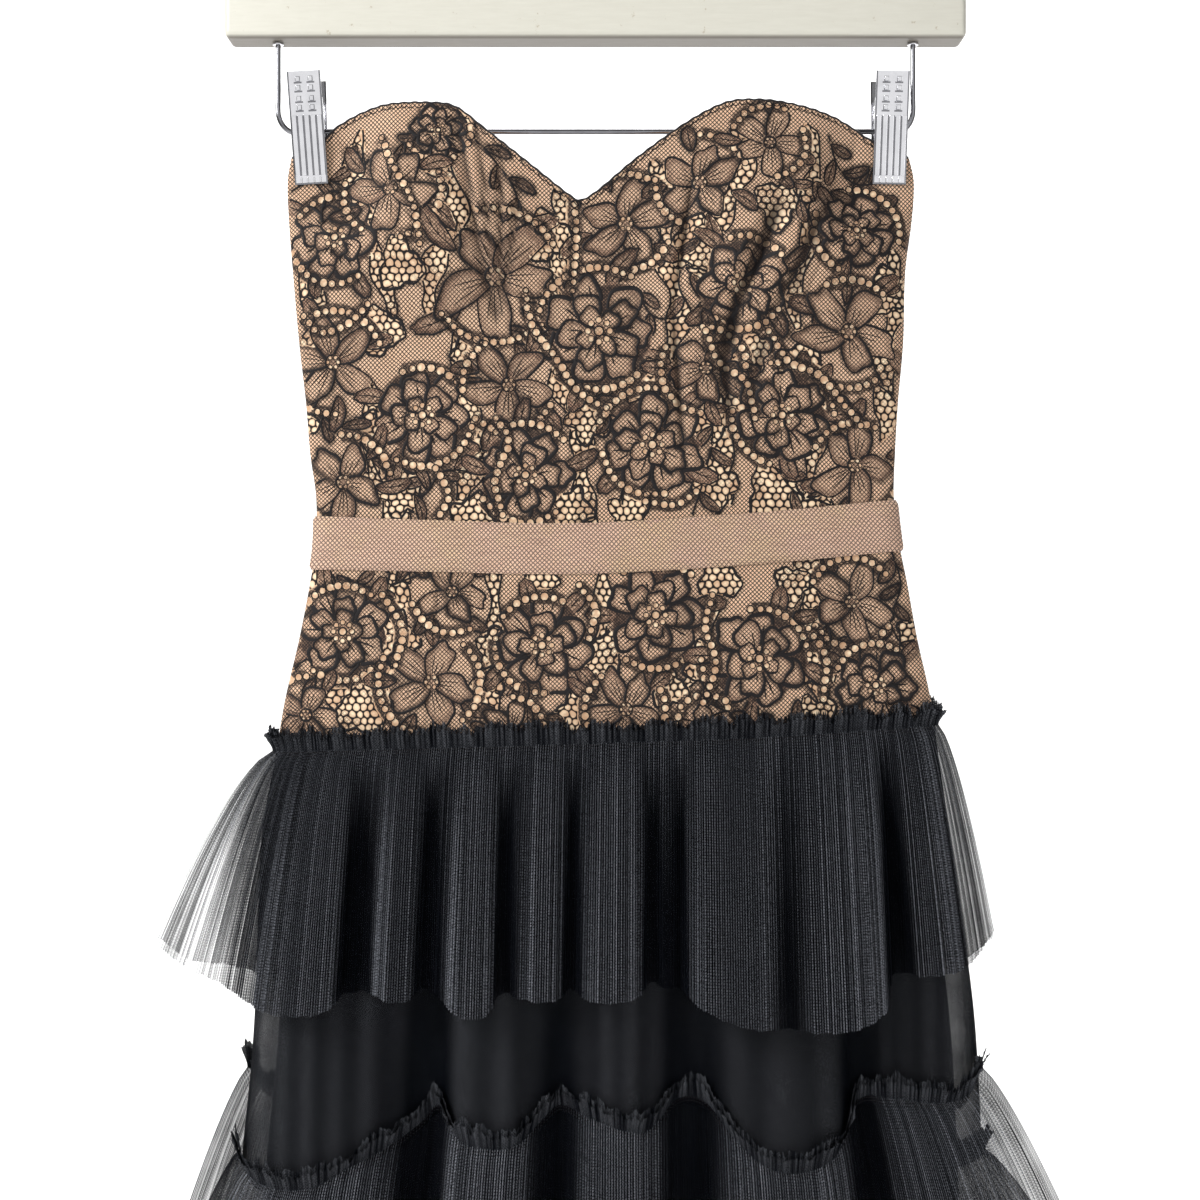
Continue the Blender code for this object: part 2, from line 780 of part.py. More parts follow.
def header(name, low_section, height, lean, over_skirt):
    """Narrow gathered frill that stands up from a seam and leans out."""
    base = offset_section(low_section, HEADER_STAND_OFF + TULLE_WALL)
    outer = []
    for rise, out in ((height, lean), (0.0, 0.0)):
        row = []
        for c, (x, y, drop) in enumerate(offset_section(base, out)):
            ripple = 1.0 + 0.16 * math.sin(c * 1.9) + 0.1 * math.sin(c * 0.7)
            drop = drop - SEAM_HALF_GAP - LAY_GAP - rise * ripple
            if over_skirt:
                y = outside_skirt(x, y, drop, HEADER_CLEARANCE)
            row.append((x, y, drop))
        outer.append(row)
    inner = [offset_section(row, -TULLE_WALL) for row in outer]
    front_and_back(name, "tulle", outer, inner)


def seam_section(hem, spread, count, drop_at):
    """Section along a seam on the tulle, with columns that match a ruffle's hem columns."""
    left_hem = hem[0][0]
    right_hem = hem[-1][0]
    first = spread[0][1]
    last = spread[-1][1]

    def point(face, share):
        run = (read_table(spread, 1, mix(left_hem, right_hem, share)) - first) / (last - first)
        drop = 700.0
        x = 0.0
        for _ in range(10):
            left, right = skirt_edges(drop)
            x = mix(left, right, run)
            drop = drop_at(face, x, left, right)
        return x, signed(face, skirt_depth(face, x, drop)), drop

    return closed_section(count, point)


def hip_seam_drop(face, x, left, right):
    return read_table(HIP, 1, x) + SEAM_HALF_GAP


def skirt_seam_drop(face, x, left, right):
    return skirt_low_drop(face, x, left, right) - SEAM_ABOVE_SKIRT_EDGE


def belt(count, rows):
    """Ribbon round the waist, open at the centre back where the zip runs."""
    centre_back = 0.5 * (read_table(CENTRE_BACK_LEFT, 1, 430.0) + read_table(CENTRE_BACK_RIGHT, 1, 430.0))
    grids = []
    for r in range(rows + 1):
        row = []
        for face, share in belt_stations(count):
            drop = 430.0
            x = 0.0
            for _ in range(8):
                left, right = side_edges(drop)
                if face == "front":
                    x = mix(left, right, share)
                elif share > 0.5:
                    x = mix(centre_back + BELT_END_HALF_GAP, right, (share - 0.5) * 2.0)
                else:
                    x = mix(left, centre_back - BELT_END_HALF_GAP, share * 2.0)
                drop = mix(read_table(BELT_EDGES, 1, x), read_table(BELT_EDGES, 2, x), r / rows)
            depth = cloth_depth(face, x, drop) * cap_factor(x, drop, 0.0)
            row.append((x, signed(face, depth), drop))
        grids.append(row)
    inner = [offset_section(row, BELT_STAND_OFF, closed=False) for row in grids]
    outer = [offset_section(row, BELT_STAND_OFF + BELT_WALL, closed=False) for row in grids]
    return solid_from_walls("belt", "ribbon", outer, inner)


def belt_stations(count):
    """From the centre back's left end, round the left side, the front and the right side."""
    tips = (0.004, 0.014, 0.032)
    front = [0.0, *tips] + [mix(0.06, 0.94, k / (count - 1)) for k in range(count)]
    front += [1.0 - tip for tip in reversed(tips)] + [1.0]
    half = count // 2
    back_left = [mix(0.499999, 0.06, k / (half - 1)) for k in range(half)] + [0.032, 0.014, 0.004]
    back_right = [1.0 - share for share in reversed(back_left)]
    stations = [("back", share) for share in back_left]
    stations += [("front", share) for share in front]
    stations += [("back", share) for share in back_right]
    return stations


def back_zip(rows):
    """Closed concealed zip in the gap between the two halves of the back."""
    outer = []
    inner = []
    for r in range(rows + 1):
        drop = mix(read_table(BACK_NECK, 1, 3.0) + 1.0, read_table(HIP, 1, 5.0) - 1.0, r / rows)
        left = read_table(CENTRE_BACK_LEFT, 1, drop) + LAY_GAP
        right = read_table(CENTRE_BACK_RIGHT, 1, drop) - LAY_GAP
        outer.append([(x, cloth_depth("back", x, drop), drop) for x in (right, left)])
        inner.append([(x, cloth_depth("back", x, drop) - BODICE_WALL, drop) for x in (right, left)])
    return solid_from_walls("back_zip", "zip", outer, inner, smooth=False)


def box(name, kind, centre, size, bevel, segments=3):
    """Block with rounded edges, centred at x, y and drop."""
    mesh = bpy.data.meshes.new(name)
    build = bmesh.new()
    bmesh.ops.create_cube(build, size=1.0)
    for vertex in build.verts:
        vertex.co = Vector((vertex.co.x * size[0], vertex.co.y * size[1], vertex.co.z * size[2])) * MM
    bmesh.ops.bevel(
        build,
        geom=build.edges[:],
        offset=bevel * MM,
        segments=segments,
        profile=0.5,
        affect="EDGES",
    )
    bmesh.ops.recalc_face_normals(build, faces=build.faces[:])
    build.to_mesh(mesh)
    build.free()
    piece = place(name, kind, mesh)
    piece.location = world(*centre)
    return piece


def rod(name, kind, centre, radius, length, turn, sides=12):
    mesh = bpy.data.meshes.new(name)
    build = bmesh.new()
    bmesh.ops.create_cone(
        build,
        cap_ends=True,
        segments=sides,
        radius1=radius * MM,
        radius2=radius * MM,
        depth=length * MM,
    )
    build.to_mesh(mesh)
    build.free()
    piece = place(name, kind, mesh)
    piece.location = world(*centre)
    piece.rotation_euler = turn
    return piece


def wire(name, route, radius, resolution=2):
    """Bent wire through points x, y, drop."""
    curve = bpy.data.curves.new(name, "CURVE")
    curve.dimensions = "3D"
    spline = curve.splines.new("POLY")
    spline.points.add(len(route) - 1)
    for point, station in zip(spline.points, route):
        point.co = (*world(*station), 1.0)
    curve.bevel_depth = radius * MM
    curve.bevel_resolution = resolution
    curve.use_fill_caps = True
    curve.materials.append(material("chrome"))
    piece = bpy.data.objects.new(name, curve)
    bpy.context.scene.collection.objects.link(piece)
    return piece


def arc(centre_x, centre_drop, radius, start, end, steps):
    """Points of an arc in the X-Z plane, angles in degrees from +X towards +Z."""
    points = []
    for k in range(steps + 1):
        angle = math.radians(mix(start, end, k / steps))
        points.append((centre_x + radius * math.cos(angle), 0.0, centre_drop - radius * math.sin(angle)))
    return points


def hanger():
    middle = 0.5 * (BAR_TOP_DROP + BAR_BOTTOM_DROP)
    height = BAR_BOTTOM_DROP - BAR_TOP_DROP
    size = (BAR_LENGTH, BAR_DEPTH, height)
    box("hanger_bar", "paint", (0.0, 0.0, middle), size, BAR_EDGE_RADIUS)
    ferrule_drop = BAR_TOP_DROP - LAY_GAP - 0.5 * FERRULE_HEIGHT
    rod("hook_ferrule", "chrome", (0.0, 0.0, ferrule_drop), FERRULE_RADIUS, FERRULE_HEIGHT, (0.0, 0.0, 0.0))
    loop = HOOK_INNER_RADIUS + HOOK_WIRE_RADIUS
    foot = BAR_TOP_DROP - FERRULE_HEIGHT - 2.0 * LAY_GAP
    stem = [(0.0, 0.0, foot)] + [(x, 0.0, drop) for x, drop in HOOK_BEND]
    over = arc(0.0, HOOK_INNER_RADIUS, loop, *HOOK_ARC, 22)
    wire("hanger_hook", stem + over, HOOK_WIRE_RADIUS)
    top = BAR_BOTTOM_DROP + LAY_GAP
    for side, way in (("left", -1.0), ("right", 1.0)):
        route = [(way * RISER_X, 0.0, top)]
        route += [(way * (RISER_X - inward), 0.0, drop) for inward, drop in RISER_BEND]
        wire("riser_" + side, route, WIRE_RADIUS)
    length = 2.0 * (RISER_X - RISER_BEND[-1][0] - LAY_GAP)
    rod("clip_rod", "chrome", (0.0, 0.0, ROD_DROP), WIRE_RADIUS, length, (0.0, math.radians(90.0), 0.0))


def clip_jaw(side, face):
    """Pressed plate with turned-in edges: it leans from the grip at its foot out to its head."""
    half = 0.5 * CLIP_WIDTH
    way = -1.0 if face == "front" else 1.0
    rows = []
    for drop, flange in CLIP_FLANGES:
        down = (drop - CLIP_TOP_DROP) / (CLIP_BOTTOM_DROP - CLIP_TOP_DROP)
        centre = mix(CLIP_TOP_X[side], CLIP_BOTTOM_X[side], down)
        inside = CLIP_REACH + CLIP_SLOPE * (CLIP_BOTTOM_DROP - drop)
        outside = inside + CLIP_PLATE
        tip = max(inside - flange, CLIP_REACH)
        wall = half - CLIP_PLATE
        corners = (
            (-half, outside),
            (half, outside),
            (half, tip),
            (wall, tip),
            (wall, inside),
            (-wall, inside),
            (-wall, tip),
            (-half, tip),
        )
        rows.append([(centre + x, way * y, drop) for x, y in corners])
    name = "clip_" + face + "_" + side
    mesh = bpy.data.meshes.new(name)
    build = bmesh.new()
    grid = [[build.verts.new(world(*point)) for point in row] for row in rows]
    count = len(grid[0])
    for upper, lower in zip(grid, grid[1:]):
        for c in range(count):
            d = (c + 1) % count
            build.faces.new((upper[c], upper[d], lower[d], lower[c]))
    build.faces.new(grid[0])
    build.faces.new(list(reversed(grid[-1])))
    bmesh.ops.triangulate(build, faces=build.faces[:])
    bmesh.ops.recalc_face_normals(build, faces=build.faces[:])
    build.to_mesh(mesh)
    build.free()
    return place(name, "chrome", mesh, smooth=False)


def bodice():
    panel("front_side_left", "front", "side", PRINCESS_LEFT, FRONT_NECK, WAIST, 7, 12)
    panel("front_centre_left", "front", PRINCESS_LEFT, CENTRE_FRONT, FRONT_NECK, WAIST, 9, 12)
    panel("front_centre_right", "front", CENTRE_FRONT, PRINCESS_RIGHT, FRONT_NECK, WAIST, 10, 12)
    panel("front_side_right", "front", PRINCESS_RIGHT, "side", FRONT_NECK, WAIST, 7, 12)
    panel("back_side_left", "back", "side", BACK_SEAM_LEFT, BACK_NECK, WAIST, 7, 9)
    panel("back_centre_left", "back", BACK_SEAM_LEFT, CENTRE_BACK_LEFT, BACK_NECK, WAIST, 5, 9)
    panel("back_centre_right", "back", CENTRE_BACK_RIGHT, BACK_SEAM_RIGHT, BACK_NECK, WAIST, 5, 9)
    panel("back_side_right", "back", BACK_SEAM_RIGHT, "side", BACK_NECK, WAIST, 7, 9)


def yoke():
    panel("yoke_front_left", "front", "side", YOKE_SEAM_LEFT, WAIST, HIP, 6, 4)
    panel("yoke_front_centre", "front", YOKE_SEAM_LEFT, YOKE_SEAM_RIGHT, WAIST, HIP, 9, 4)
    panel("yoke_front_right", "front", YOKE_SEAM_RIGHT, "side", WAIST, HIP, 6, 4)
    panel("yoke_back_side_left", "back", "side", YOKE_BACK_LEFT, WAIST, HIP, 6, 4)
    panel("yoke_back_left", "back", YOKE_BACK_LEFT, CENTRE_BACK_LEFT, WAIST, HIP, 5, 4)
    panel("yoke_back_right", "back", CENTRE_BACK_RIGHT, YOKE_BACK_RIGHT, WAIST, HIP, 5, 4)
    panel("yoke_back_side_right", "back", YOKE_BACK_RIGHT, "side", WAIST, HIP, 6, 4)


def skirt():
    tulle_skirt(46, 3)
    skirt_lining(22, 4)
    seam_one = seam_section(TIER_ONE_FRONT, TIER_ONE_SPREAD, 58, hip_seam_drop)
    top_one = offset_section(seam_one, HEADER_STAND_OFF + TULLE_WALL)
    ruffle("ruffle_one", TIER_ONE_FRONT, top_one, 0.7, 58, 4, True)
    header("header_one", seam_one, HEADER_HEIGHT, HEADER_LEAN, False)
    seam_two = seam_section(TIER_TWO_FRONT, TIER_TWO_SPREAD, 58, skirt_seam_drop)
    top_two = offset_section(seam_two, HEADER_STAND_OFF + TULLE_WALL)
    ruffle("ruffle_two", TIER_TWO_FRONT, top_two, 0.8, 58, 4, False)
    header("header_two", seam_two, HEADER_HEIGHT, HEADER_LEAN, True)


def build_part():
    clear_scene()
    hanger()
    for side in ("left", "right"):
        for face in ("front", "back"):
            clip_jaw(side, face)
    bodice()
    yoke()
    belt(20, 2)
    back_zip(12)
    skirt()


build_part()
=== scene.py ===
"""Looks of the strapless lace dress on its clip hanger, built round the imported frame.

The sizes repeat the construction's own, in millimetres, with heights as drops below the hook's
inner top. The front of the dress faces -Y and +X is to the right.
"""
import math
import random

import bpy
import numpy as np
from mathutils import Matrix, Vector


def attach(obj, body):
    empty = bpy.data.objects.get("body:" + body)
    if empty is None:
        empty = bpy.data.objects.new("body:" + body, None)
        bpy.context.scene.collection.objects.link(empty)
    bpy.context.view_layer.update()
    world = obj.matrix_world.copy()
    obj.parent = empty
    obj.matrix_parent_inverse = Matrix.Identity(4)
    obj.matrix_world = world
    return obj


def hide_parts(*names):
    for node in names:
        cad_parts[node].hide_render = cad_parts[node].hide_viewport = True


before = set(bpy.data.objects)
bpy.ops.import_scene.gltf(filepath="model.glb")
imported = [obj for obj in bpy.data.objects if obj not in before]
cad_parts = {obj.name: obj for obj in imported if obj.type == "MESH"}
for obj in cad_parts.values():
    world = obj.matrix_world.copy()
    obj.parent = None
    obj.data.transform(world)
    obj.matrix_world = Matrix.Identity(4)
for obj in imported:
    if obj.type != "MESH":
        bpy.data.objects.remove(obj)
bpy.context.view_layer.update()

MM = 0.001
FACES = ("front", "back")

# Cloth
SEAM_HALF_GAP = 0.15
LAY_GAP = 0.3
BODICE_WALL = 1.2
TULLE_WALL = 1.1
BELT_WALL = 1.5
CAP_LENGTH = 12.0

# Hanger
HOOK_WIRE_RADIUS = 2.0
HOOK_INNER_RADIUS = 20.0
BAR_LENGTH = 445.0
BAR_DEPTH = 23.0
BAR_TOP_DROP = 80.0
BAR_BOTTOM_DROP = 124.0
ROD_DROP = 177.7
WIRE_RADIUS = 1.6
RISER_X = 192.0
CLIP_WIDTH = 20.0
CLIP_TOP_DROP = 144.0
CLIP_BOTTOM_DROP = 210.5
CLIP_PLATE = 1.2
CLIP_REACH = 1.8
CLIP_SLOPE = 0.13
CLIP_TOP_X = {"left": -174.9, "right": 178.2}
CLIP_BOTTOM_X = {"left": -171.3, "right": 177.2}

# Side edges of the bodice and of the hip yoke: drop, left x, right x
BODICE_SIDES = (
    (193, -184, 189.5), (208, -186.3, 192.6), (232, -185.5, 191.3), (262, -183.2, 187.5),
    (305, -179.4, 186.2), (342, -175.2, 183), (373, -172.6, 181.2), (400, -169, 180.6),
    (430, -169.6, 184.4), (450, -172.6, 188.4), (484, -179.2, 194.6), (522, -188, 203),
    (552, -193, 207),
)
# Neckline of the front: x, drop
FRONT_NECK = (
    (-190, 199), (-181, 192), (-163, 182.5), (-157, 176.5), (-142, 168.2), (-124, 163.5), (-92, 163.2),
    (-82, 166.5), (-68, 177.5), (-34, 204.5), (-16, 218.5), (-9.4, 221.8), (0, 217), (24, 197),
    (54, 175.5), (78, 163), (96, 161), (114, 162.8), (142, 170), (155, 176.5), (165, 183), (186, 191),
    (194, 199),
)
# Top edge of the back: x, drop
BACK_NECK = (
    (-190, 199), (-181, 192), (-163, 185), (-120, 205), (-60, 224), (0, 231), (64, 224), (125, 205),
    (168, 185), (186, 191), (194, 199),
)
# Waist seam under the belt, and the seam where the first tier is set on: x, drop
WAIST = (
    (-175, 426.5), (-90, 428.5), (-10, 430), (97, 424), (190, 415),
)
HIP = (
    (-200, 552), (-100, 548.5), (0, 545.5), (110, 541.5), (215, 535),
)
# Seams of the panels: drop, x
CENTRE_FRONT = (
    (221, -9.4), (260, -13), (320, -13), (355, -8.5), (432, -9),
)
PRINCESS_LEFT = (
    (176, -158), (217, -141.5), (264, -110), (299, -86), (325, -73), (408, -64), (432, -63),
)
PRINCESS_RIGHT = (
    (176, 156), (214, 152.5), (242, 143.5), (267, 131), (297, 119), (332, 111.5), (432, 108),
)
BACK_SEAM_LEFT = ((185.0, -104.0), (300.0, -84.0), (432.0, -72.0))
BACK_SEAM_RIGHT = ((185.0, 108.0), (300.0, 92.0), (432.0, 84.0))
YOKE_SEAM_LEFT = ((415.0, -92.0), (480.0, -96.0), (556.0, -103.0))
YOKE_SEAM_RIGHT = ((415.0, 120.0), (480.0, 124.0), (556.0, 131.0))
YOKE_BACK_LEFT = ((415.0, -88.0), (556.0, -100.0))
YOKE_BACK_RIGHT = ((415.0, 98.0), (556.0, 110.0))
CENTRE_BACK_LEFT = ((180.0, 0.8), (560.0, 3.8))
CENTRE_BACK_RIGHT = ((180.0, 5.2), (560.0, 8.2))

# Bust cups: centre x, centre drop, half width, half height, fullness
CUPS = ((-110.0, 238.0, 62.0, 50.0, 15.0), (118.0, 238.0, 62.0, 50.0, 15.0))
# Soft folds in the cloth of the front: top x, top drop, bottom x, bottom drop, half width, height
FRONT_FOLDS = (
    (-84, 182, -60, 290, 6, -2), (-72, 186, -59, 296, 5, 1.8), (-62, 192, -58, 292, 5, -1.8),
    (-49, 200, -56, 284, 5.5, 1.6), (57, 206, 46, 286, 6, -2), (46, 286, 53, 372, 6, -1.6),
    (110, 226, 85, 282, 8, -3.4), (85, 282, 80, 345, 7, -2.6), (92, 206, 72, 280, 7, 2),
    (-150, 300, -104, 330, 8, -1.4), (150, 330, 122, 372, 8, -1.4),
)
BACK_FOLDS = (
    (-128.0, 232.0, -96.0, 320.0, 9.0, -2.0),
    (130.0, 232.0, 100.0, 318.0, 9.0, -2.0),
    (-46.0, 330.0, -28.0, 410.0, 8.0, -1.6),
    (50.0, 326.0, 34.0, 408.0, 8.0, -1.6),
)
FRONT_BASE_DEPTH = 4.0
FRONT_LENS_DEPTH = 7.0
BACK_LENS_DEPTH = 7.5
HIP_EXTRA_DEPTH = 8.0
PINCHED_DEPTH = 1.5
PINCHED_TOP_DEPTH = 3.5
PINCH_HALF_WIDTH = 19.0
PINCH_BELOW = 5.0
PINCH_FADE = 34.0

# Ribbon belt: x, top drop, bottom drop
BELT_EDGES = (
    (-178, 410, 442.5), (-100, 413, 444), (-10, 415, 445.5), (97, 408.5, 439.5), (190, 399.5, 430.8),
)
BELT_END_HALF_GAP = 3.5
BELT_STAND_OFF = 0.85
# Cut lengths in metres
TIER_ONE_CUT = 0.17
TIER_TWO_CUT = 0.185
HEADER_STAND_OFF = 0.9

# First ruffle's hem, front then back, from its left tip to its right tip: x, drop, distance out
TIER_ONE_FRONT = (
    (-265, 670, 0), (-245, 682, 9), (-224, 690, 13), (-206, 699, 22), (-192, 703.5, 33),
    (-172, 704, 37), (-158, 702, 33), (-150, 695, 22), (-136, 692.5, 23), (-122, 695.5, 37),
    (-110, 695.5, 34), (-102, 691, 21), (-92, 694, 30), (-80, 702.5, 42), (-64, 703, 40),
    (-56, 693, 24), (-46, 694, 34), (-32, 695, 41), (-20, 694, 34), (-15, 690, 25), (-4, 694, 40),
    (12, 694.5, 44), (26, 692.5, 36), (32, 687, 24), (42, 689, 31), (51, 690, 27), (58, 696, 40),
    (76, 704, 49), (94, 708.5, 52), (112, 709, 46), (128, 709.5, 53), (146, 708.5, 54),
    (162, 704.5, 46), (171, 699, 34), (176, 684, 20), (194, 683.5, 24), (210, 683, 20), (222, 681, 10),
    (232, 672, 6), (241, 661, 0),
)
# Lower edge of the tulle between the tiers, front only: x, drop, distance out
SKIRT_FRONT = (
    (-218, 792, 0), (-206, 808, 15), (-188, 813, 27), (-166, 811, 32), (-146, 801, 28), (-128, 793, 20),
    (-106, 780, 10), (-92, 768, 12), (-80, 784, 26), (-64, 788, 32), (-48, 787, 31), (-34, 775, 22),
    (-21, 766, 18), (-2, 772, 26), (16, 778, 30), (30, 779, 26), (48, 763, 16), (66, 764, 18),
    (86, 786, 32), (102, 798, 38), (126, 799, 37), (143, 790, 26), (154, 766, 11), (180, 764, 14),
    (204, 766, 15), (222, 763, 9), (232, 748, 0),
)
# Second ruffle's hem, front: x, drop, distance out
TIER_TWO_FRONT = (
    (-266, 902, 0), (-248, 914, 14), (-226, 922, 30), (-200, 929, 46), (-178, 930, 40), (-156, 931, 50),
    (-134, 925, 40), (-118, 915, 26), (-104, 908, 24), (-88, 920, 44), (-64, 925, 54), (-42, 918, 42),
    (-24, 908, 30), (-4, 916, 46), (20, 919, 52), (42, 912, 38), (60, 906, 32), (82, 922, 52),
    (108, 930, 62), (136, 930, 58), (158, 918, 40), (174, 904, 26), (198, 908, 38), (224, 909, 40),
    (250, 904, 30), (272, 896, 18), (292, 882, 8), (302, 872, 0),
)
# Side edges of the tulle between the tiers: drop, left x, right x
SKIRT_SIDES = (
    (535, -190.5, 205), (552, -193, 207), (600, -201.5, 214), (642, -203.8, 220), (701, -205.6, 228),
    (745, -208.5, 231.5), (800, -214, 234), (930, -222, 240),
)
# Where each column of a ruffle starts at its seam: hem x, seam x
TIER_ONE_SPREAD = (
    (-265, -196.5), (-206, -181), (-150, -143), (0, 1), (150, 148), (200, 188), (241, 209),
)
TIER_TWO_SPREAD = (
    (-266, -215), (-200, -180), (-118, -106), (0, 0), (136, 126), (250, 204), (302, 234.5),
)
HEADER_HEIGHT = 12.0
HEADER_LEAN = 2.2
SEAM_ABOVE_SKIRT_EDGE = 6.0
LINING_INSET = 15.0
LINING_HEM_DROP = 905.0


# Shared shapes, on arrays of points


def track(table, column, at):
    """Smooth values of one column of a table whose first column rises."""
    keys = np.array([row[0] for row in table], float)
    values = np.array([row[column] for row in table], float)
    slopes = np.empty_like(values)
    slopes[1:-1] = (values[2:] - values[:-2]) / (keys[2:] - keys[:-2])
    slopes[0] = (values[1] - values[0]) / (keys[1] - keys[0])
    slopes[-1] = (values[-1] - values[-2]) / (keys[-1] - keys[-2])
    at = np.clip(np.asarray(at, float), keys[0], keys[-1])
    i = np.clip(np.searchsorted(keys, at, side="right") - 1, 0, len(keys) - 2)
    step = keys[i + 1] - keys[i]
    u = (at - keys[i]) / step
    start = values[i] * (2 * u**3 - 3 * u**2 + 1) + slopes[i] * step * (u**3 - 2 * u**2 + u)
    end = values[i + 1] * (3 * u**2 - 2 * u**3) + slopes[i + 1] * step * (u**3 - u**2)
    return start + end


def ease(u):
    u = np.clip(u, 0.0, 1.0)
    return u * u * (3.0 - 2.0 * u)


def mix(a, b, u):
    return a + (b - a) * u


def side_edges(drop):
    return track(BODICE_SIDES, 1, drop), track(BODICE_SIDES, 2, drop)


def fold_height(folds, x, drop):
    total = np.zeros_like(x)
    for top_x, top_drop, low_x, low_drop, half_width, height in folds:
        run = (drop - top_drop) / (low_drop - top_drop)
        inside = (run > 0.0) & (run < 1.0)
        run = np.clip(run, 0.0, 1.0)
        across = (x - mix(top_x, low_x, run)) / half_width
        swell = np.sin(np.pi * run) ** 0.7 * np.exp(-across * across)
        total = total + np.where(inside, height * swell, 0.0)
    return total


def clip_pinch(x, drop):
    held = np.zeros_like(x)
    for side in ("left", "right"):
        across = np.maximum(0.0, np.abs(x - CLIP_BOTTOM_X[side]) - PINCH_HALF_WIDTH)
        below = np.maximum(0.0, drop - CLIP_BOTTOM_DROP - PINCH_BELOW)
        held = np.maximum(held, 1.0 - ease(np.hypot(across, below) / PINCH_FADE))
    return held


def cloth_depth(face, x, drop, fine=True):
    """Distance of the cloth's outside from the middle plane, before the sides round off."""
    left, right = side_edges(drop)
    middle = 0.5 * (left + right)
    across = np.minimum(1.0, np.abs(x - middle) / (0.5 * (right - left)))
    lens = 1.0 - across * across
    hip = HIP_EXTRA_DEPTH * ease((drop - 440.0) / 110.0)
    if face == "front":
        depth = FRONT_BASE_DEPTH + FRONT_LENS_DEPTH * lens
        for centre_x, centre_drop, half_x, half_drop, fullness in CUPS:
            reach = ((x - centre_x) / half_x) ** 2 + ((drop - centre_drop) / half_drop) ** 2
            depth = depth + fullness * np.exp(-reach)
        depth = depth + fold_height(FRONT_FOLDS, x, drop)
    else:
        depth = FRONT_BASE_DEPTH + BACK_LENS_DEPTH * lens
        depth = depth + fold_height(BACK_FOLDS, x, drop)
    depth = depth + hip * np.sqrt(lens)
    if fine:
        depth = depth + fine_creases(face, x, drop)
    pinched = mix(PINCHED_DEPTH, PINCHED_TOP_DEPTH, ease((192.0 - drop) / 12.0))
    return mix(depth, pinched, clip_pinch(x, drop))


# Small creases of the lace cloth: top x, top drop, low x, low drop, half width, height
FINE_CREASES = {
    "front": (
        (-84, 168, -60.5, 294, 2.3, -3.4), (-70, 174, -59.5, 298, 2, -3),
        (-56, 190, -58, 296, 2.2, -3.4), (-44, 204, -56, 292, 2.2, -2.2), (-77, 186, -60, 288, 3, 1.6),
        (-63, 190, -58, 288, 3, 1.8), (59, 203, 46, 290, 2.3, -3.6), (46, 280, 53, 376, 2.2, -2.8),
        (53, 212, 40, 300, 6, 2), (66, 214, 54, 290, 5, 1.6), (110, 222, 84, 286, 4.2, -5),
        (86, 276, 78, 316, 3.8, -5), (76, 300, 82, 360, 3.4, -2.6), (102, 214, 74, 290, 5, 2.8),
        (120, 232, 96, 292, 5.5, 2.6), (142, 214, 100, 300, 3.6, -2.2), (132, 206, 108, 280, 4, 1.8),
        (104, 292, 92, 352, 4, -1.8), (-176, 222, -160, 300, 4, -0.9),
        (-160, 226, -138, 296, 4.5, -0.8), (-181, 300, -150, 352, 5, 0.7),
        (-172, 330, -120, 372, 4, -0.8), (-168, 372, -112, 396, 4, 0.7), (-128, 376, -92, 412, 4, -0.7),
        (-50, 300, -44, 398, 5, -0.7), (-30, 240, -26, 330, 6, 0.7), (20, 232, 26, 340, 6, -0.8),
        (36, 300, 30, 404, 4.5, 0.6), (140, 218, 112, 300, 5, -1.2), (168, 222, 148, 306, 4.5, -0.9),
        (178, 250, 160, 330, 4, 0.8), (172, 340, 128, 382, 4.5, -0.8), (160, 380, 120, 410, 4, 0.6),
        (-160, 452, -126, 500, 6, -0.8), (-60, 450, -40, 520, 7, 0.8), (60, 446, 46, 520, 7, -0.8),
        (160, 440, 140, 505, 6, -0.9),
    ),
    "back": (
        (-130, 226, -96, 324, 4, -2.4), (-118, 230, -88, 316, 5, 1.8), (132, 226, 100, 322, 4, -2.6),
        (120, 232, 92, 316, 5, 1.8), (-48, 326, -28, 412, 4, -1.8), (52, 322, 34, 410, 4, -2),
        (-168, 230, -140, 300, 5, -0.9), (-150, 330, -110, 390, 5, 0.8), (-60, 250, -50, 350, 5, -0.7),
        (56, 252, 50, 340, 5, 0.7), (150, 240, 122, 310, 5, -0.9), (156, 330, 110, 390, 5, -0.8),
        (-130, 446, -110, 520, 6, -0.8), (40, 440, 52, 520, 7, 0.8), (150, 440, 136, 505, 6, -0.8),
    ),
}
SEAM_GROOVE = 0.55
SEAM_HALF_WIDTH = 1.6
FULL_CREASE = -2.4


def fine_creases(face, x, drop):
    total = fold_height(FINE_CREASES[face], x, drop)
    for seam, first, last in PANEL_SEAMS[face]:
        there = (drop > first) & (drop < last)
        across = (x - track(seam, 1, drop)) / SEAM_HALF_WIDTH
        pucker = 1.0 + 0.35 * np.sin(drop * 0.9) * np.sin(drop * 0.37)
        groove = -SEAM_GROOVE * pucker * np.exp(-across * across)
        ridge = 0.25 * np.exp(-((np.abs(across) - 2.4) ** 2))
        total = total + np.where(there, groove + ridge, 0.0)
    return total


def crease_shade(face, x, drop):
    """How deep in a crease or seam groove each point lies, 0 to 1; the lace paints it as shade."""
    return np.clip(fine_creases(face, x, drop) / FULL_CREASE, 0.0, 1.0)


PANEL_SEAMS = {
    "front": (
        (CENTRE_FRONT, 200.0, 432.0),
        (PRINCESS_LEFT, 160.0, 432.0),
        (PRINCESS_RIGHT, 160.0, 432.0),
        (YOKE_SEAM_LEFT, 415.0, 560.0),
        (YOKE_SEAM_RIGHT, 415.0, 560.0),
    ),
    "back": (
        (BACK_SEAM_LEFT, 180.0, 432.0),
        (BACK_SEAM_RIGHT, 180.0, 432.0),
        (YOKE_BACK_LEFT, 415.0, 560.0),
        (YOKE_BACK_RIGHT, 415.0, 560.0),
    ),
}


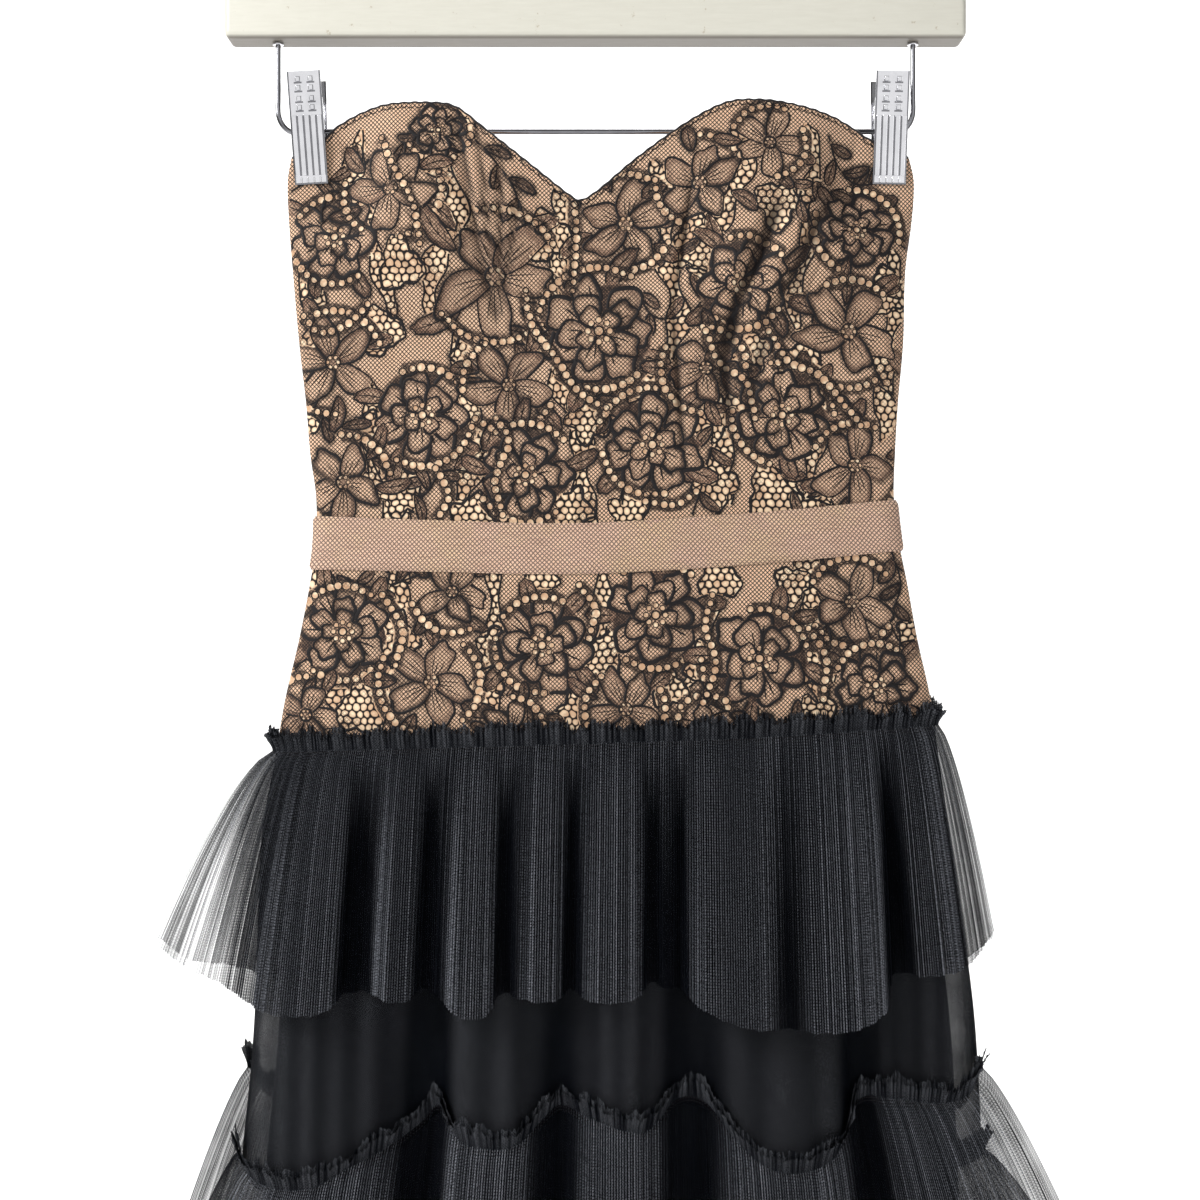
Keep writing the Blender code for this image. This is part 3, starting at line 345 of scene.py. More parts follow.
def cap_factor(x, drop, inset=0.0):
    left, right = side_edges(drop)
    near = np.minimum(x - left - inset, right - inset - x)
    u = np.clip(near / (CAP_LENGTH - inset), 0.0, 1.0)
    return np.sqrt(np.maximum(0.0, 1.0 - (1.0 - u) ** 2))


def sign_of(face):
    return -1.0 if face == "front" else 1.0


def cloth_points(face, x, drop, out=0.0, inset=0.0, fine=True):
    """Points on a panel's outside, moved out by some distance."""
    depth = (cloth_depth(face, x, drop, fine) - inset) * cap_factor(x, drop, inset)
    depth = np.maximum(SEAM_HALF_GAP, depth) + out
    return np.stack([x, sign_of(face) * depth, -drop], axis=-1) * MM


def crowded(u, near):
    """Draws the places of a grid together towards 0, within a short stretch."""
    return np.where(u < near, near * (u / near) ** 2, u)


def panel_sides(start, end, drop, inset=0.0):
    """Left and right edge of a panel at each drop: a seam's line, or the garment's side."""
    left, right = side_edges(drop)
    low = left + inset if start == "side" else track(start, 1, drop)
    high = right - inset if end == "side" else track(end, 1, drop)
    return low, high


def panel_size(start, end, top, bottom):
    """Width and height of a panel, measured through its middle."""
    low, high = panel_sides(start, end, BODICE_MIDDLE if bottom == WAIST else YOKE_MIDDLE)
    x = 0.5 * (low + high)
    return float(high - low), float(track(bottom, 1, x) - track(top, 1, x))


def panel_grid(start, end, top, bottom, columns, rows, inset=0.0):
    """Cloth coordinates x and drop of a panel's grid, rows from its top to its bottom edge."""
    across = np.linspace(0.0, 1.0, columns + 1)[None, :].repeat(rows + 1, axis=0)
    down = np.linspace(0.0, 1.0, rows + 1)[:, None].repeat(columns + 1, axis=1)
    if start == "side":
        across = crowded(across, 0.12)
    if end == "side":
        across = 1.0 - crowded(1.0 - across, 0.12)
    x = np.zeros_like(across)
    drop = np.full_like(across, 300.0)
    for _ in range(14):
        left, right = panel_sides(start, end, drop, inset)
        x = mix(left, right, across)
        drop = mix(track(top, 1, x), track(bottom, 1, x), down)
    return x, drop


# Meshes


def grid_faces(rows, columns, wrap=False, flip=False):
    index = np.arange(rows * columns).reshape(rows, columns)
    if wrap:
        index = np.concatenate([index, index[:, :1]], axis=1)
    a, b = index[:-1, :-1], index[1:, :-1]
    c, d = index[1:, 1:], index[:-1, 1:]
    order = (a, d, c, b) if flip else (a, b, c, d)
    return np.stack(order, axis=-1).reshape(-1, 4)


def mesh_piece(name, points, faces, kind, uv=None, masks=None, smooth=True):
    """Object of a list of points and faces, with a map in metres and a mask for each point."""
    points = np.asarray(points, float).reshape(-1, 3)
    mesh = bpy.data.meshes.new(name)
    mesh.from_pydata(points.tolist(), [], [list(map(int, face)) for face in faces])
    if uv is not None:
        flat = np.asarray(uv, float).reshape(-1, 2)
        corners = np.empty(len(mesh.loops), int)
        mesh.loops.foreach_get("vertex_index", corners)
        layer = mesh.uv_layers.new(name="cloth")
        layer.data.foreach_set("uv", flat[corners].reshape(-1))
    if masks is not None:
        layer = mesh.color_attributes.new(name="lacework", type="FLOAT_COLOR", domain="POINT")
        masks = np.asarray(masks, float)
        flat = masks.reshape(-1, masks.shape[-1])
        spare = np.ones((len(flat), 4 - flat.shape[1]))
        layer.data.foreach_set("color", np.concatenate([flat, spare], axis=1).reshape(-1))
    mesh.update()
    if smooth:
        mesh.shade_smooth()
    piece = bpy.data.objects.new(name, mesh)
    bpy.context.scene.collection.objects.link(piece)
    piece.data.materials.append(kind)
    return piece


def dress_piece(piece, nodes=()):
    """Registers a finished piece with the frame."""
    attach(piece, "root")
    if nodes:
        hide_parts(*nodes)
    return piece


# Lace design, in cloth coordinates: x and drop in millimetres


LACE_BOX = (-200.0, 150.0, 214.0, 562.0)
LACE_PITCH = 0.5
LACE_SHAPE = (
    int((LACE_BOX[3] - LACE_BOX[1]) / LACE_PITCH),
    int((LACE_BOX[2] - LACE_BOX[0]) / LACE_PITCH),
)
CELL = 4.7
CHAIN_BORDER = 2.1
FLOSS_REACH = 2.4


def lace_spot(x, drop):
    """Row and column of the lace picture at places on the cloth."""
    row = np.clip(((drop - LACE_BOX[1]) / LACE_PITCH).astype(int), 0, LACE_SHAPE[0] - 1)
    column = np.clip(((x - LACE_BOX[0]) / LACE_PITCH).astype(int), 0, LACE_SHAPE[1] - 1)
    return row, column


class LaceDesign:
    """Cords, petal fills, open cells and dark floss of one side of the dress."""

    def __init__(self):
        self.cords = []
        self.picture = np.zeros((*LACE_SHAPE, 3))

    def area(self, outline):
        """Part of the picture round an outline, and which of its points lie inside."""
        low = outline.min(axis=0)
        high = outline.max(axis=0)
        c0 = max(0, int((low[0] - LACE_BOX[0]) / LACE_PITCH) - 1)
        c1 = min(self.picture.shape[1], int((high[0] - LACE_BOX[0]) / LACE_PITCH) + 2)
        r0 = max(0, int((low[1] - LACE_BOX[1]) / LACE_PITCH) - 1)
        r1 = min(self.picture.shape[0], int((high[1] - LACE_BOX[1]) / LACE_PITCH) + 2)
        if c1 <= c0 or r1 <= r0:
            return None
        xs = LACE_BOX[0] + (np.arange(c0, c1) + 0.5) * LACE_PITCH
        ys = LACE_BOX[1] + (np.arange(r0, r1) + 0.5) * LACE_PITCH
        grid = np.stack(np.meshgrid(xs, ys), axis=-1)
        return slice(r0, r1), slice(c0, c1), inside(outline, grid)

    def paint(self, outline, fill, cells, dark):
        found = self.area(outline)
        if found is None:
            return
        rows, columns, mask = found
        self.picture[rows, columns][mask] = (fill, cells, dark)

    def add(self, line, width):
        """Keeps a cord, with the box round it: low x, low drop, high x, high drop."""
        line = np.asarray(line, float)
        box = (*line.min(axis=0).tolist(), *line.max(axis=0).tolist())
        self.cords.append((line, np.broadcast_to(np.asarray(width, float), len(line)), box))

    def clear_cords(self, outline):
        """Drops the stretches of earlier cords that a new motif covers."""
        x0, y0, x1, y1 = *outline.min(axis=0).tolist(), *outline.max(axis=0).tolist()
        earlier = self.cords
        self.cords = []
        for cord in earlier:
            line, width, box = cord
            if box[2] < x0 or box[3] < y0 or box[0] > x1 or box[1] > y1:
                self.cords.append(cord)
                continue
            outside = ~inside(outline, line)
            runs = np.flatnonzero(np.diff(np.concatenate([[0], outside.astype(int), [0]])))
            for first, last in zip(runs[::2], runs[1::2]):
                if last - first > 2:
                    self.add(line[first:last], width[first:last])

    def cord(self, line, width, taper=False):
        line = smooth_line(line)
        widths = np.full(len(line), float(width))
        if taper:
            widths *= 0.35 + 0.65 * np.sin(np.linspace(0.0, np.pi, len(line))) ** 0.5
        self.add(line, widths)

    def outline_cord(self, outline, width):
        line = resample(np.concatenate([outline, outline[:1]]), 1.6)
        swell = 1.0 + 0.3 * np.sin(np.linspace(0.0, 9.0, len(line)) + outline[0, 0])
        self.add(line, width * swell)

    def shape(self, outline, fill, width, cells=0.0, dark=0.0):
        """A motif: a darker rim, a lighter heart, and a cord round it."""
        self.clear_cords(outline)
        self.paint(outline, min(1.0, fill + 0.4), cells, dark)
        if fill > 0.0 and len(outline) > 12:
            heart = outline.mean(axis=0) + (outline - outline.mean(axis=0)) * 0.66
            self.paint(heart, fill * 0.7, cells, dark * 0.5)
        self.outline_cord(outline, width)


def inside(outline, points):
    """Which points lie inside a closed outline, by crossings."""
    x, y = points[..., 0], points[..., 1]
    crossed = np.zeros(x.shape, bool)
    for (x0, y0), (x1, y1) in zip(outline, np.roll(outline, -1, axis=0)):
        if y0 == y1:
            continue
        crossed ^= ((y0 > y) != (y1 > y)) & (x < (x1 - x0) * (y - y0) / (y1 - y0) + x0)
    return crossed


def resample(line, pitch):
    steps = np.hypot(*np.diff(line, axis=0).T)
    along = np.concatenate([[0.0], np.cumsum(steps)])
    count = max(3, int(along[-1] / pitch))
    at = np.linspace(0.0, along[-1], count + 1)
    return np.stack([np.interp(at, along, line[:, 0]), np.interp(at, along, line[:, 1])], axis=-1)


def smooth_line(points, pitch=1.8):
    """Smooth curve through a few points."""
    points = np.asarray(points, float)
    if len(points) > 8:
        return resample(points, pitch)
    knots = np.arange(len(points))
    at = np.linspace(0, len(points) - 1, 12 * len(points))
    lines = []
    for axis in range(2):
        table = list(zip(knots, points[:, axis]))
        lines.append(track(table, 1, at))
    return resample(np.stack(lines, axis=-1), pitch)


def round_line(centre, reach, t, tall=1.0):
    """Points round a centre at the angles t."""
    return np.stack([centre[0] + reach * np.cos(t), centre[1] + tall * reach * np.sin(t)], axis=-1)


def full_turn(count):
    return np.linspace(0.0, 2.0 * np.pi, count, endpoint=False)


def sideways(line, least=0.0):
    """Unit directions across a flat line."""
    along = np.gradient(line, axis=0)
    along /= np.hypot(along[:, 0], along[:, 1])[:, None] + least
    return np.stack([-along[:, 1], along[:, 0]], axis=-1)


def turned(points, angle, centre):
    c, s = math.cos(angle), math.sin(angle)
    points = np.asarray(points, float)
    return np.stack([
        centre[0] + points[..., 0] * c - points[..., 1] * s,
        centre[1] + points[..., 0] * s + points[..., 1] * c,
    ], axis=-1)


def petal_outline(length, width, lobes, wave, start=0.0, bend=0.0):
    """Petal that grows along +x from its base, with a lobed rim."""
    t = np.linspace(0.0, 2.0 * np.pi, max(18, int((length + width) * 1.1)), endpoint=False)
    ripple = 1.0 + wave * np.sin(lobes * t + start) * np.sin(t / 2.0) ** 2
    along = length * (1.0 - np.cos(t)) / 2.0 * (1.0 + (ripple - 1.0) * 0.7)
    across = 0.5 * width * np.sin(t) * np.sin(t / 2.0) ** 0.45 * ripple
    across = across + bend * (along / length) ** 2 * length
    return np.stack([along, across], axis=-1)


def petal(design, centre, angle, length, width, fill, cord, rng, veins=3, bend=0.0):
    lobes = rng.choice((3, 4, 5))
    shape = petal_outline(length, width, lobes, 0.1, rng.uniform(0, 6), bend)
    design.shape(turned(shape, angle, centre), fill, cord)
    for k in range(veins):
        side = (k - (veins - 1) / 2.0) / max(1.0, veins / 2.0)
        reach = length * rng.uniform(0.5, 0.8)
        line = [
            (length * 0.06, 0.0),
            (reach * 0.5, side * width * 0.17 + bend * length * 0.2),
            (reach, side * width * 0.3 + bend * length * (reach / length) ** 2),
        ]
        design.cord(turned(line, angle, centre), cord * 0.5, taper=True)


def leaf(design, centre, angle, length, width, rng, bend=0.0, fill=0.7, cord=1.25):
    outline = turned(petal_outline(length, width, 9, 0.05, rng.uniform(0, 6), bend), angle, centre)
    design.shape(outline, fill, cord)
    mid = [(0.0, 0.0), (length * 0.5, bend * length * 0.25), (length * 0.93, bend * length * 0.86)]
    design.cord(turned(mid, angle, centre), cord * 0.7, taper=True)
    for k in range(3):
        for side in (-1.0, 1.0):
            at = 0.22 + 0.2 * k
            start = (length * at, bend * length * at * at)
            end = (length * (at + 0.17), side * width * 0.3 * (1.1 - at) + bend * length * (at + 0.17) ** 2)
            design.cord(turned([start, end], angle, centre), cord * 0.4)


def ring_of_cells(design, centre, radius, count, cell):
    for spot in round_line(centre, radius, full_turn(count)):
        dot(design, spot, cell)


def dot(design, centre, radius, cord=0.7):
    """One open cell with its own cord round it."""
    outline = round_line(centre, radius, full_turn(9))
    design.clear_cords(outline)
    design.paint(outline, 0.0, 0.5, 0.0)
    design.add(np.concatenate([outline, outline[:1]]), cord)


def chain(design, route, cell, rng):
    """File of round open cells on dark floss, smaller towards its ends."""
    line = smooth_line(route, cell * 1.08)
    across = sideways(line) * (0.5 * cell + CHAIN_BORDER)
    design.paint(np.concatenate([line + across, (line - across)[::-1]]), 0.5, 0.0, 0.85)
    for k, spot in enumerate(line):
        share = math.sin(math.pi * (k + 0.8) / (len(line) + 0.6)) ** 0.5
        size = 0.5 * cell * (0.72 + 0.4 * share) * rng.uniform(0.85, 1.12)
        dot(design, spot + np.array([rng.uniform(-0.4, 0.4), 0.0]), size, 0.95)


def rose(design, centre, size, turn, rng):
    """Full bloom: lobed outer petals, cupped inner ones and a ring of open cells."""
    t = full_turn(40)
    shade = round_line(centre, size * (0.9 + 0.08 * np.sin(5.0 * t + turn)), t)
    design.clear_cords(shade)
    design.paint(shade, 0.9, 0.0, 0.75)
    layers = ((7, 1.0, 0.7, 0.3), (5, 0.74, 0.6, 0.16), (4, 0.46, 0.42, 0.08))
    for layer, (count, reach, wide, back) in enumerate(layers):
        for k in range(count):
            angle = turn + layer * 0.5 + 2.0 * np.pi * (k + rng.uniform(-0.12, 0.12)) / count
            base = (centre[0] + size * back * math.cos(angle), centre[1] + size * back * math.sin(angle))
            length = size * (reach - back) * rng.uniform(0.86, 1.1)
            width = size * wide * rng.uniform(0.8, 1.1)
            fill = rng.uniform(0.0, 0.32)
            petal(design, base, angle, length, width, fill, 2.5 - 0.45 * layer, rng, 2 if layer < 2 else 0)
    dot(design, centre, size * 0.09, 1.2)
    ring_of_cells(design, centre, size * 0.2, 8, size * 0.06)


def open_blossom(design, centre, size, turn, rng):
    """Flat five-petalled flower with long veins and an open heart."""
    for k in range(5):
        angle = turn + 2.0 * np.pi * (k + rng.uniform(-0.1, 0.1)) / 5
        length = size * rng.uniform(0.85, 1.15)
        fill = rng.uniform(0.0, 0.5)
        bend = rng.uniform(-0.3, 0.3)
        petal(design, centre, angle, length, size * 0.66, fill, 1.5, rng, 3, bend)
    design.shape(round_line(centre, size * 0.17, full_turn(14)), 0.9, 1.3, dark=0.8)
    ring_of_cells(design, centre, size * 0.12, 6, size * 0.05)


def cell_band(design, route, half_width):
    """Run of open cells between two cords."""
    line = smooth_line(route, 2.0)
    across = sideways(line)
    swell = half_width * (0.8 + 0.35 * np.sin(np.arange(len(line)) * 0.37 + line[0, 0]))
    ends = np.minimum(np.arange(len(line)), np.arange(len(line))[::-1]) / 4.0 + 0.2
    swell = swell * np.minimum(1.0, ends)
    one = line + across * swell[:, None]
    two = line - across * swell[:, None]
    outline = np.concatenate([one, two[::-1]])
    design.clear_cords(outline)
    design.paint(outline, 0.0, 1.0, 0.0)
    for edge in (one, two):
        design.add(edge, 1.5)


def cell_field(design, centre, size, rng):
    """Rounded patch of open cells with a lobed cord round it."""
    t = full_turn(30)
    lobes = rng.choice((3, 4, 5))
    reach = size * (1.0 + 0.22 * np.sin(lobes * t + rng.uniform(0, 6)) + 0.08 * np.sin(9.0 * t))
    outline = round_line(centre, reach, t, 1.15)
    design.clear_cords(outline)
    design.paint(outline, 0.0, 1.0, 0.0)
    design.outline_cord(outline, 1.8)


def stem(design, route, width, leaves, rng, size=15.0):
    line = smooth_line(route, 1.8)
    design.add(line, width)
    for k in range(leaves):
        i = int((k + 0.7) / (leaves + 0.6) * (len(line) - 2))
        run = line[i + 1] - line[i]
        angle = math.atan2(run[1], run[0]) + (0.8 if k % 2 else -0.8)
        leaf(design, line[i], angle, size * rng.uniform(0.8, 1.25), size * 0.5, rng, rng.uniform(-0.3, 0.3))


# Main flowers of the front: kind, x, drop, size, turn in degrees
FRONT_FLOWERS = (
    ("rose", -156, 244, 27, 10), ("rose", -94, 180, 18, 40), ("blossom", -122, 216, 28, 100),
    ("blossom", -60, 268, 36, 20), ("blossom", 18, 236, 28, 200), ("rose", 2, 300, 33, 0),
    ("blossom", 62, 212, 26, 60), ("rose", 88, 272, 27, 25), ("blossom", 104, 188, 22, 150),
    ("rose", 156, 240, 24, 80), ("blossom", 152, 300, 29, 10), ("blossom", -158, 318, 27, 45),
    ("rose", -104, 350, 29, 0), ("blossom", -52, 332, 26, 160), ("rose", -42, 386, 28, 50),
    ("rose", 34, 368, 30, 15), ("blossom", 66, 322, 24, 230), ("rose", 112, 350, 28, 65),
    ("blossom", 156, 380, 26, 140), ("blossom", -152, 390, 26, 80), ("rose", -152, 480, 28, 30),
    ("blossom", -98, 510, 28, 75), ("blossom", -86, 456, 22, 10), ("rose", -32, 488, 29, 20),
    ("rose", 36, 470, 29, 45), ("blossom", 18, 526, 24, 95), ("rose", 98, 496, 30, 70),
    ("blossom", 154, 462, 26, 15), ("rose", 168, 512, 25, 5), ("blossom", -174, 530, 22, 5),
    ("blossom", 66, 538, 18, 40), ("blossom", -50, 538, 18, 80),
)
# Runs of open cells down the front, as x and drop along each
FRONT_CELL_RUNS = (
    ((-141, 178), (-146, 204), (-138, 232), (-128, 262), (-120, 292)),
    ((-178, 262), (-168, 288), (-176, 312)),
    ((-100, 196), (-84, 216), (-84, 240), (-96, 262), (-100, 290)),
    ((-20, 208), (-16, 240), (-20, 262), (-26, 290)),
    ((34, 198), (42, 226), (42, 256), (50, 290), (42, 320)),
    ((84, 174), (88, 200), (80, 222), (66, 248), (60, 270)),
    ((126, 176), (132, 200), (124, 226), (126, 252), (118, 282), (124, 306)),
    ((178, 252), (182, 282), (174, 312), (178, 340)),
    ((-84, 296), (-78, 320), (-78, 344), (-72, 372), (-80, 402), (-72, 424)),
    ((-26, 322), (-16, 344), (-8, 366), (-8, 396), (2, 424)),
    ((-134, 330), (-132, 352), (-138, 376), (-124, 400), (-116, 422)),
    ((38, 326), (32, 342), (10, 352)), ((88, 300), (90, 326), (82, 350), (76, 378), (80, 404)),
    ((138, 326), (140, 350), (130, 376), (130, 404)), ((168, 330), (176, 350), (172, 366)),
    ((-120, 446), (-118, 470), (-124, 496), (-130, 530)),
    ((-62, 440), (-60, 472), (-66, 500), (-60, 530)), ((4, 440), (4, 478), (-4, 506), (-12, 536)),
    ((72, 436), (68, 470), (62, 500), (50, 516)), ((126, 430), (130, 466), (132, 500), (138, 530)),
    ((-164, 512), (-150, 522), (-132, 540)),
)
# Patches of open cells: x, drop, size
FRONT_CELL_FIELDS = (
    (-82, 178, 9), (-116, 262, 12), (-28, 244, 11), (42, 212, 11), (108, 226, 13), (176, 276, 11),
    (58, 250, 12), (124, 322, 13), (-128, 300, 12), (-34, 306, 10), (30, 330, 12), (-76, 312, 10),
    (94, 312, 11), (-176, 352, 10), (-136, 358, 10), (-72, 366, 12), (-4, 352, 13), (70, 352, 11),
    (140, 346, 12), (72, 392, 13), (-14, 408, 12), (-116, 396, 13), (-74, 412, 11), (106, 398, 13),
    (134, 410, 10), (20, 408, 12), (176, 412, 8), (-172, 416, 8), (-120, 484, 12), (-60, 490, 12),
    (4, 496, 13), (66, 500, 12), (132, 500, 12), (-168, 450, 9), (-118, 442, 9), (-32, 448, 10),
    (74, 448, 12), (118, 452, 10), (-140, 526, 12), (-66, 520, 11), (-12, 530, 12), (44, 514, 10),
    (132, 534, 12), (190, 482, 8), (-188, 506, 8), (94, 540, 9),
)
# Long free stems of the front
FRONT_STEMS = (
    ((-184, 214), (-168, 206), (-150, 210), (-136, 196)), ((-118, 180), (-112, 196), (-118, 210)),
    ((-72, 186), (-56, 204), (-46, 222), (-40, 246)), ((18, 206), (30, 222), (40, 246), (58, 262)),
    ((112, 206), (124, 226), (146, 214), (166, 216)), ((140, 182), (146, 200), (158, 210), (176, 208)),
    ((-186, 350), (-166, 350), (-142, 366), (-128, 390)),
    ((-60, 296), (-44, 308), (-30, 300), (-18, 284)), ((22, 272), (36, 292), (58, 288), (70, 270)),
    ((-12, 336), (6, 348), (18, 372), (16, 404)), ((60, 338), (70, 356), (66, 384), (58, 410)),
    ((124, 300), (140, 292), (160, 278), (184, 280)), ((108, 382), (120, 396), (136, 402), (156, 410)),
    ((-124, 392), (-104, 398), (-92, 384), (-74, 384)),
    ((-176, 452), (-156, 446), (-132, 454), (-106, 446)),
    ((-60, 516), (-40, 524), (-20, 540), (4, 540)), ((62, 520), (84, 530), (104, 538), (130, 534)),
    ((124, 462), (140, 478), (150, 496), (146, 522)),
    ((-186, 470), (-176, 490), (-168, 510), (-176, 530)),
    ((178, 430), (184, 452), (178, 474), (190, 500)),
)
# Files of round cells that run past the flowers
FRONT_CHAINS = (
    ((-128, 184), (-120, 204), (-108, 226), (-104, 250)),
    ((-42, 276), (-38, 296), (-24, 316), (-10, 336), (6, 346)),
    ((-14, 214), (-12, 232), (-12, 256), (-14, 276)), ((66, 300), (74, 318), (90, 330), (96, 352)),
    ((104, 300), (116, 318), (134, 326), (150, 344), (160, 356)),
    ((-176, 290), (-166, 300), (-150, 296), (-136, 284)),
    ((-60, 352), (-52, 366), (-60, 388), (-56, 410)), ((60, 396), (48, 404), (30, 402)),
    ((-96, 382), (-88, 398), (-96, 414)), ((-10, 452), (0, 466), (-4, 484)),
    ((70, 458), (66, 478), (72, 500), (64, 522)), ((-128, 458), (-116, 478), (-120, 500)),
    ((128, 478), (138, 496), (136, 520)),
)
# Middle of the garment, about which the back's cloth is turned over
CENTRE_SHIFT = 3.0


def cell_arc(design, centre, radius, start, sweep, rng):
    """File of round cells that hugs one side of a flower."""
    chain(design, round_line(centre, radius, start + sweep * np.arange(5) / 4.0), CELL, rng)


def floss_beside_cords(design, rng):
    """Loose dark floss beside the heavy cords, outside the open cells."""
    halo = np.zeros(LACE_SHAPE)
    for line, width, _ in design.cords:
        if width.max() < 1.3 or len(line) < 3:
            continue
        spots = resample(line, LACE_PITCH)
        where = lace_spot(spots[:, 0], spots[:, 1])
        halo[where] = np.maximum(halo[where], rng.uniform(0.35, 0.95))
    for _ in range(int(FLOSS_REACH / LACE_PITCH)):
        for axis in (0, 1):
            for way in (1, -1):
                halo = np.maximum(halo, np.roll(halo, way, axis) * 0.93)
    halo[design.picture[..., 1] > 0.3] = 0.0
    design.picture[..., 2] = np.maximum(design.picture[..., 2], halo)


def lace_design(seed):
    """Lays the motifs of the front; the back is the same cloth turned over."""
    rng = random.Random(seed)
    design = LaceDesign()
    for route in FRONT_CELL_RUNS:
        cell_band(design, route, rng.uniform(4.6, 7.6))
    for x, drop, size in FRONT_CELL_FIELDS:
        cell_field(design, (x, drop), size * rng.uniform(0.85, 1.15), rng)
    for route in FRONT_STEMS:
        stem(design, route, 1.5, 5, rng)
    for kind, x, drop, size, turn in FRONT_FLOWERS:
        angle = math.radians(turn)
        for k in range(4):
            around = angle + 0.6 + 2.0 * math.pi * (k + rng.uniform(-0.25, 0.25)) / 4
            base = (x + 0.75 * size * math.cos(around), drop + 0.75 * size * math.sin(around))
            length = size * rng.uniform(0.6, 0.9)
            leaf(design, base, around, length, size * 0.4, rng, rng.uniform(-0.35, 0.35))
        flower = rose if kind == "rose" else open_blossom
        flower(design, (x, drop), size, angle, rng)
        for k in range(2):
            start = angle + math.pi * k + rng.uniform(0.0, 1.2)
            cell_arc(design, (x, drop), size * rng.uniform(0.98, 1.16), start, rng.uniform(1.1, 2.0), rng)
    for route in FRONT_CHAINS:
        chain(design, route, CELL, rng)
    floss_beside_cords(design, rng)
    return design


def blurred(picture):
    """Softens the edges of the painted areas by a pixel or so."""
    soft = picture.copy()
    for axis in (0, 1):
        soft = (np.roll(soft, 1, axis) + 2.0 * soft + np.roll(soft, -1, axis)) / 4.0
    return soft


def lace_masks(picture, face, x, drop):
    """Masks at cloth points: petal fill, open cells, dark floss and depth in a crease, the last for painted
    crease shade.
    """
    look = x if face == "front" else 2.0 * CENTRE_SHIFT - x
    shade = crease_shade(face, x, drop)
    return np.concatenate([picture[lace_spot(look, drop)], shade[..., None]], axis=-1)


# Materials


def colour(red, green, blue):
    """Screen colour, 0 to 255, as linear light."""
    out = []
    for value in (red, green, blue):
        share = value / 255.0
        out.append(share / 12.92 if share <= 0.04045 else ((share + 0.055) / 1.055) ** 2.4)
    return (*out, 1.0)


class Surface:
    """A material under construction, with short calls for the nodes it uses."""

    def __init__(self, name):
        self.material = bpy.data.materials.new(name)
        self.material.use_nodes = True
        self.tree = self.material.node_tree
        self.shader = self.tree.nodes["Principled BSDF"]

    def node(self, kind, **settings):
        made = self.tree.nodes.new(kind)
        for key, value in settings.items():
            setattr(made, key, value)
        return made

    def link(self, source, target):
        self.tree.links.new(source, target)

    def feed(self, socket, value):
        if isinstance(value, bpy.types.NodeSocket):
            self.link(value, socket)
        else:
            socket.default_value = value

    def math(self, operation, a, b=0.0, c=0.0, clamp=False):
        made = self.node("ShaderNodeMath", operation=operation, use_clamp=clamp)
        for socket, value in zip(made.inputs, (a, b, c)):
            self.feed(socket, value)
        return made.outputs[0]

    def vector(self, operation, a, b=None, factor=None, output="Vector"):
        made = self.node("ShaderNodeVectorMath", operation=operation)
        self.feed(made.inputs[0], a)
        if b is not None:
            self.feed(made.inputs[1], b)
        if factor is not None:
            self.feed(made.inputs["Scale"], factor)
        return made.outputs[output]

    def blend(self, factor, a, b):
        made = self.node("ShaderNodeMix", data_type="RGBA")
        self.feed(made.inputs["Factor"], factor)
        self.feed(made.inputs[6], a)
        self.feed(made.inputs[7], b)
        return made.outputs[2]

    def noise(self, vector, scale, detail=2.0, rough=0.5):
        made = self.node("ShaderNodeTexNoise")
        self.link(vector, made.inputs["Vector"])
        made.inputs["Scale"].default_value = scale
        made.inputs["Detail"].default_value = detail
        made.inputs["Roughness"].default_value = rough
        return made.outputs["Fac"]

    def ramp(self, value, low, high):
        made = self.node("ShaderNodeMapRange", clamp=True)
        self.feed(made.inputs["Value"], value)
        made.inputs["From Min"].default_value = low
        made.inputs["From Max"].default_value = high
        return made.outputs["Result"]

    def group(self, shared, **inputs):
        made = self.node("ShaderNodeGroup")
        made.node_tree = shared
        for key, value in inputs.items():
            self.feed(made.inputs[key.replace("_", " ")], value)
        return made

    def bump(self, height, strength, distance):
        made = self.node("ShaderNodeBump")
        self.link(height, made.inputs["Height"])
        made.inputs["Strength"].default_value = strength
        made.inputs["Distance"].default_value = distance
        return made.outputs["Normal"]

    def stretched(self, vector, scale):
        """A map drawn out along some of its axes, for brush marks and streaks."""
        made = self.node("ShaderNodeMapping")
        self.link(vector, made.inputs["Vector"])
        made.inputs["Scale"].default_value = scale
        return made.outputs["Vector"]

    def masks(self):
        """The piece's own marks: three channels and the alpha."""
        found = self.node("ShaderNodeVertexColor", layer_name="lacework")
        parts = self.node("ShaderNodeSeparateColor")
        self.link(found.outputs["Color"], parts.inputs[0])
        return (*parts.outputs, found.outputs["Alpha"])

    def map(self):
        return self.node("ShaderNodeUVMap", uv_map="cloth").outputs["UV"]

    def place(self):
        return self.node("ShaderNodeTexCoord").outputs["Object"]


class Shared(Surface):
    """A node group under construction, with named inputs and outputs."""

    def __init__(self, name, inputs, outputs):
        self.tree = bpy.data.node_groups.new(name, "ShaderNodeTree")
        for label, kind, value in inputs:
            made = self.tree.interface.new_socket(label, in_out="INPUT", socket_type=kind)
            if value is not None:
                made.default_value = value
        for label, kind in outputs:
            self.tree.interface.new_socket(label, in_out="OUTPUT", socket_type=kind)
        self.start = self.tree.nodes.new("NodeGroupInput").outputs
        self.end = self.tree.nodes.new("NodeGroupOutput").inputs


VECTOR = "NodeSocketVector"
FLOAT = "NodeSocketFloat"


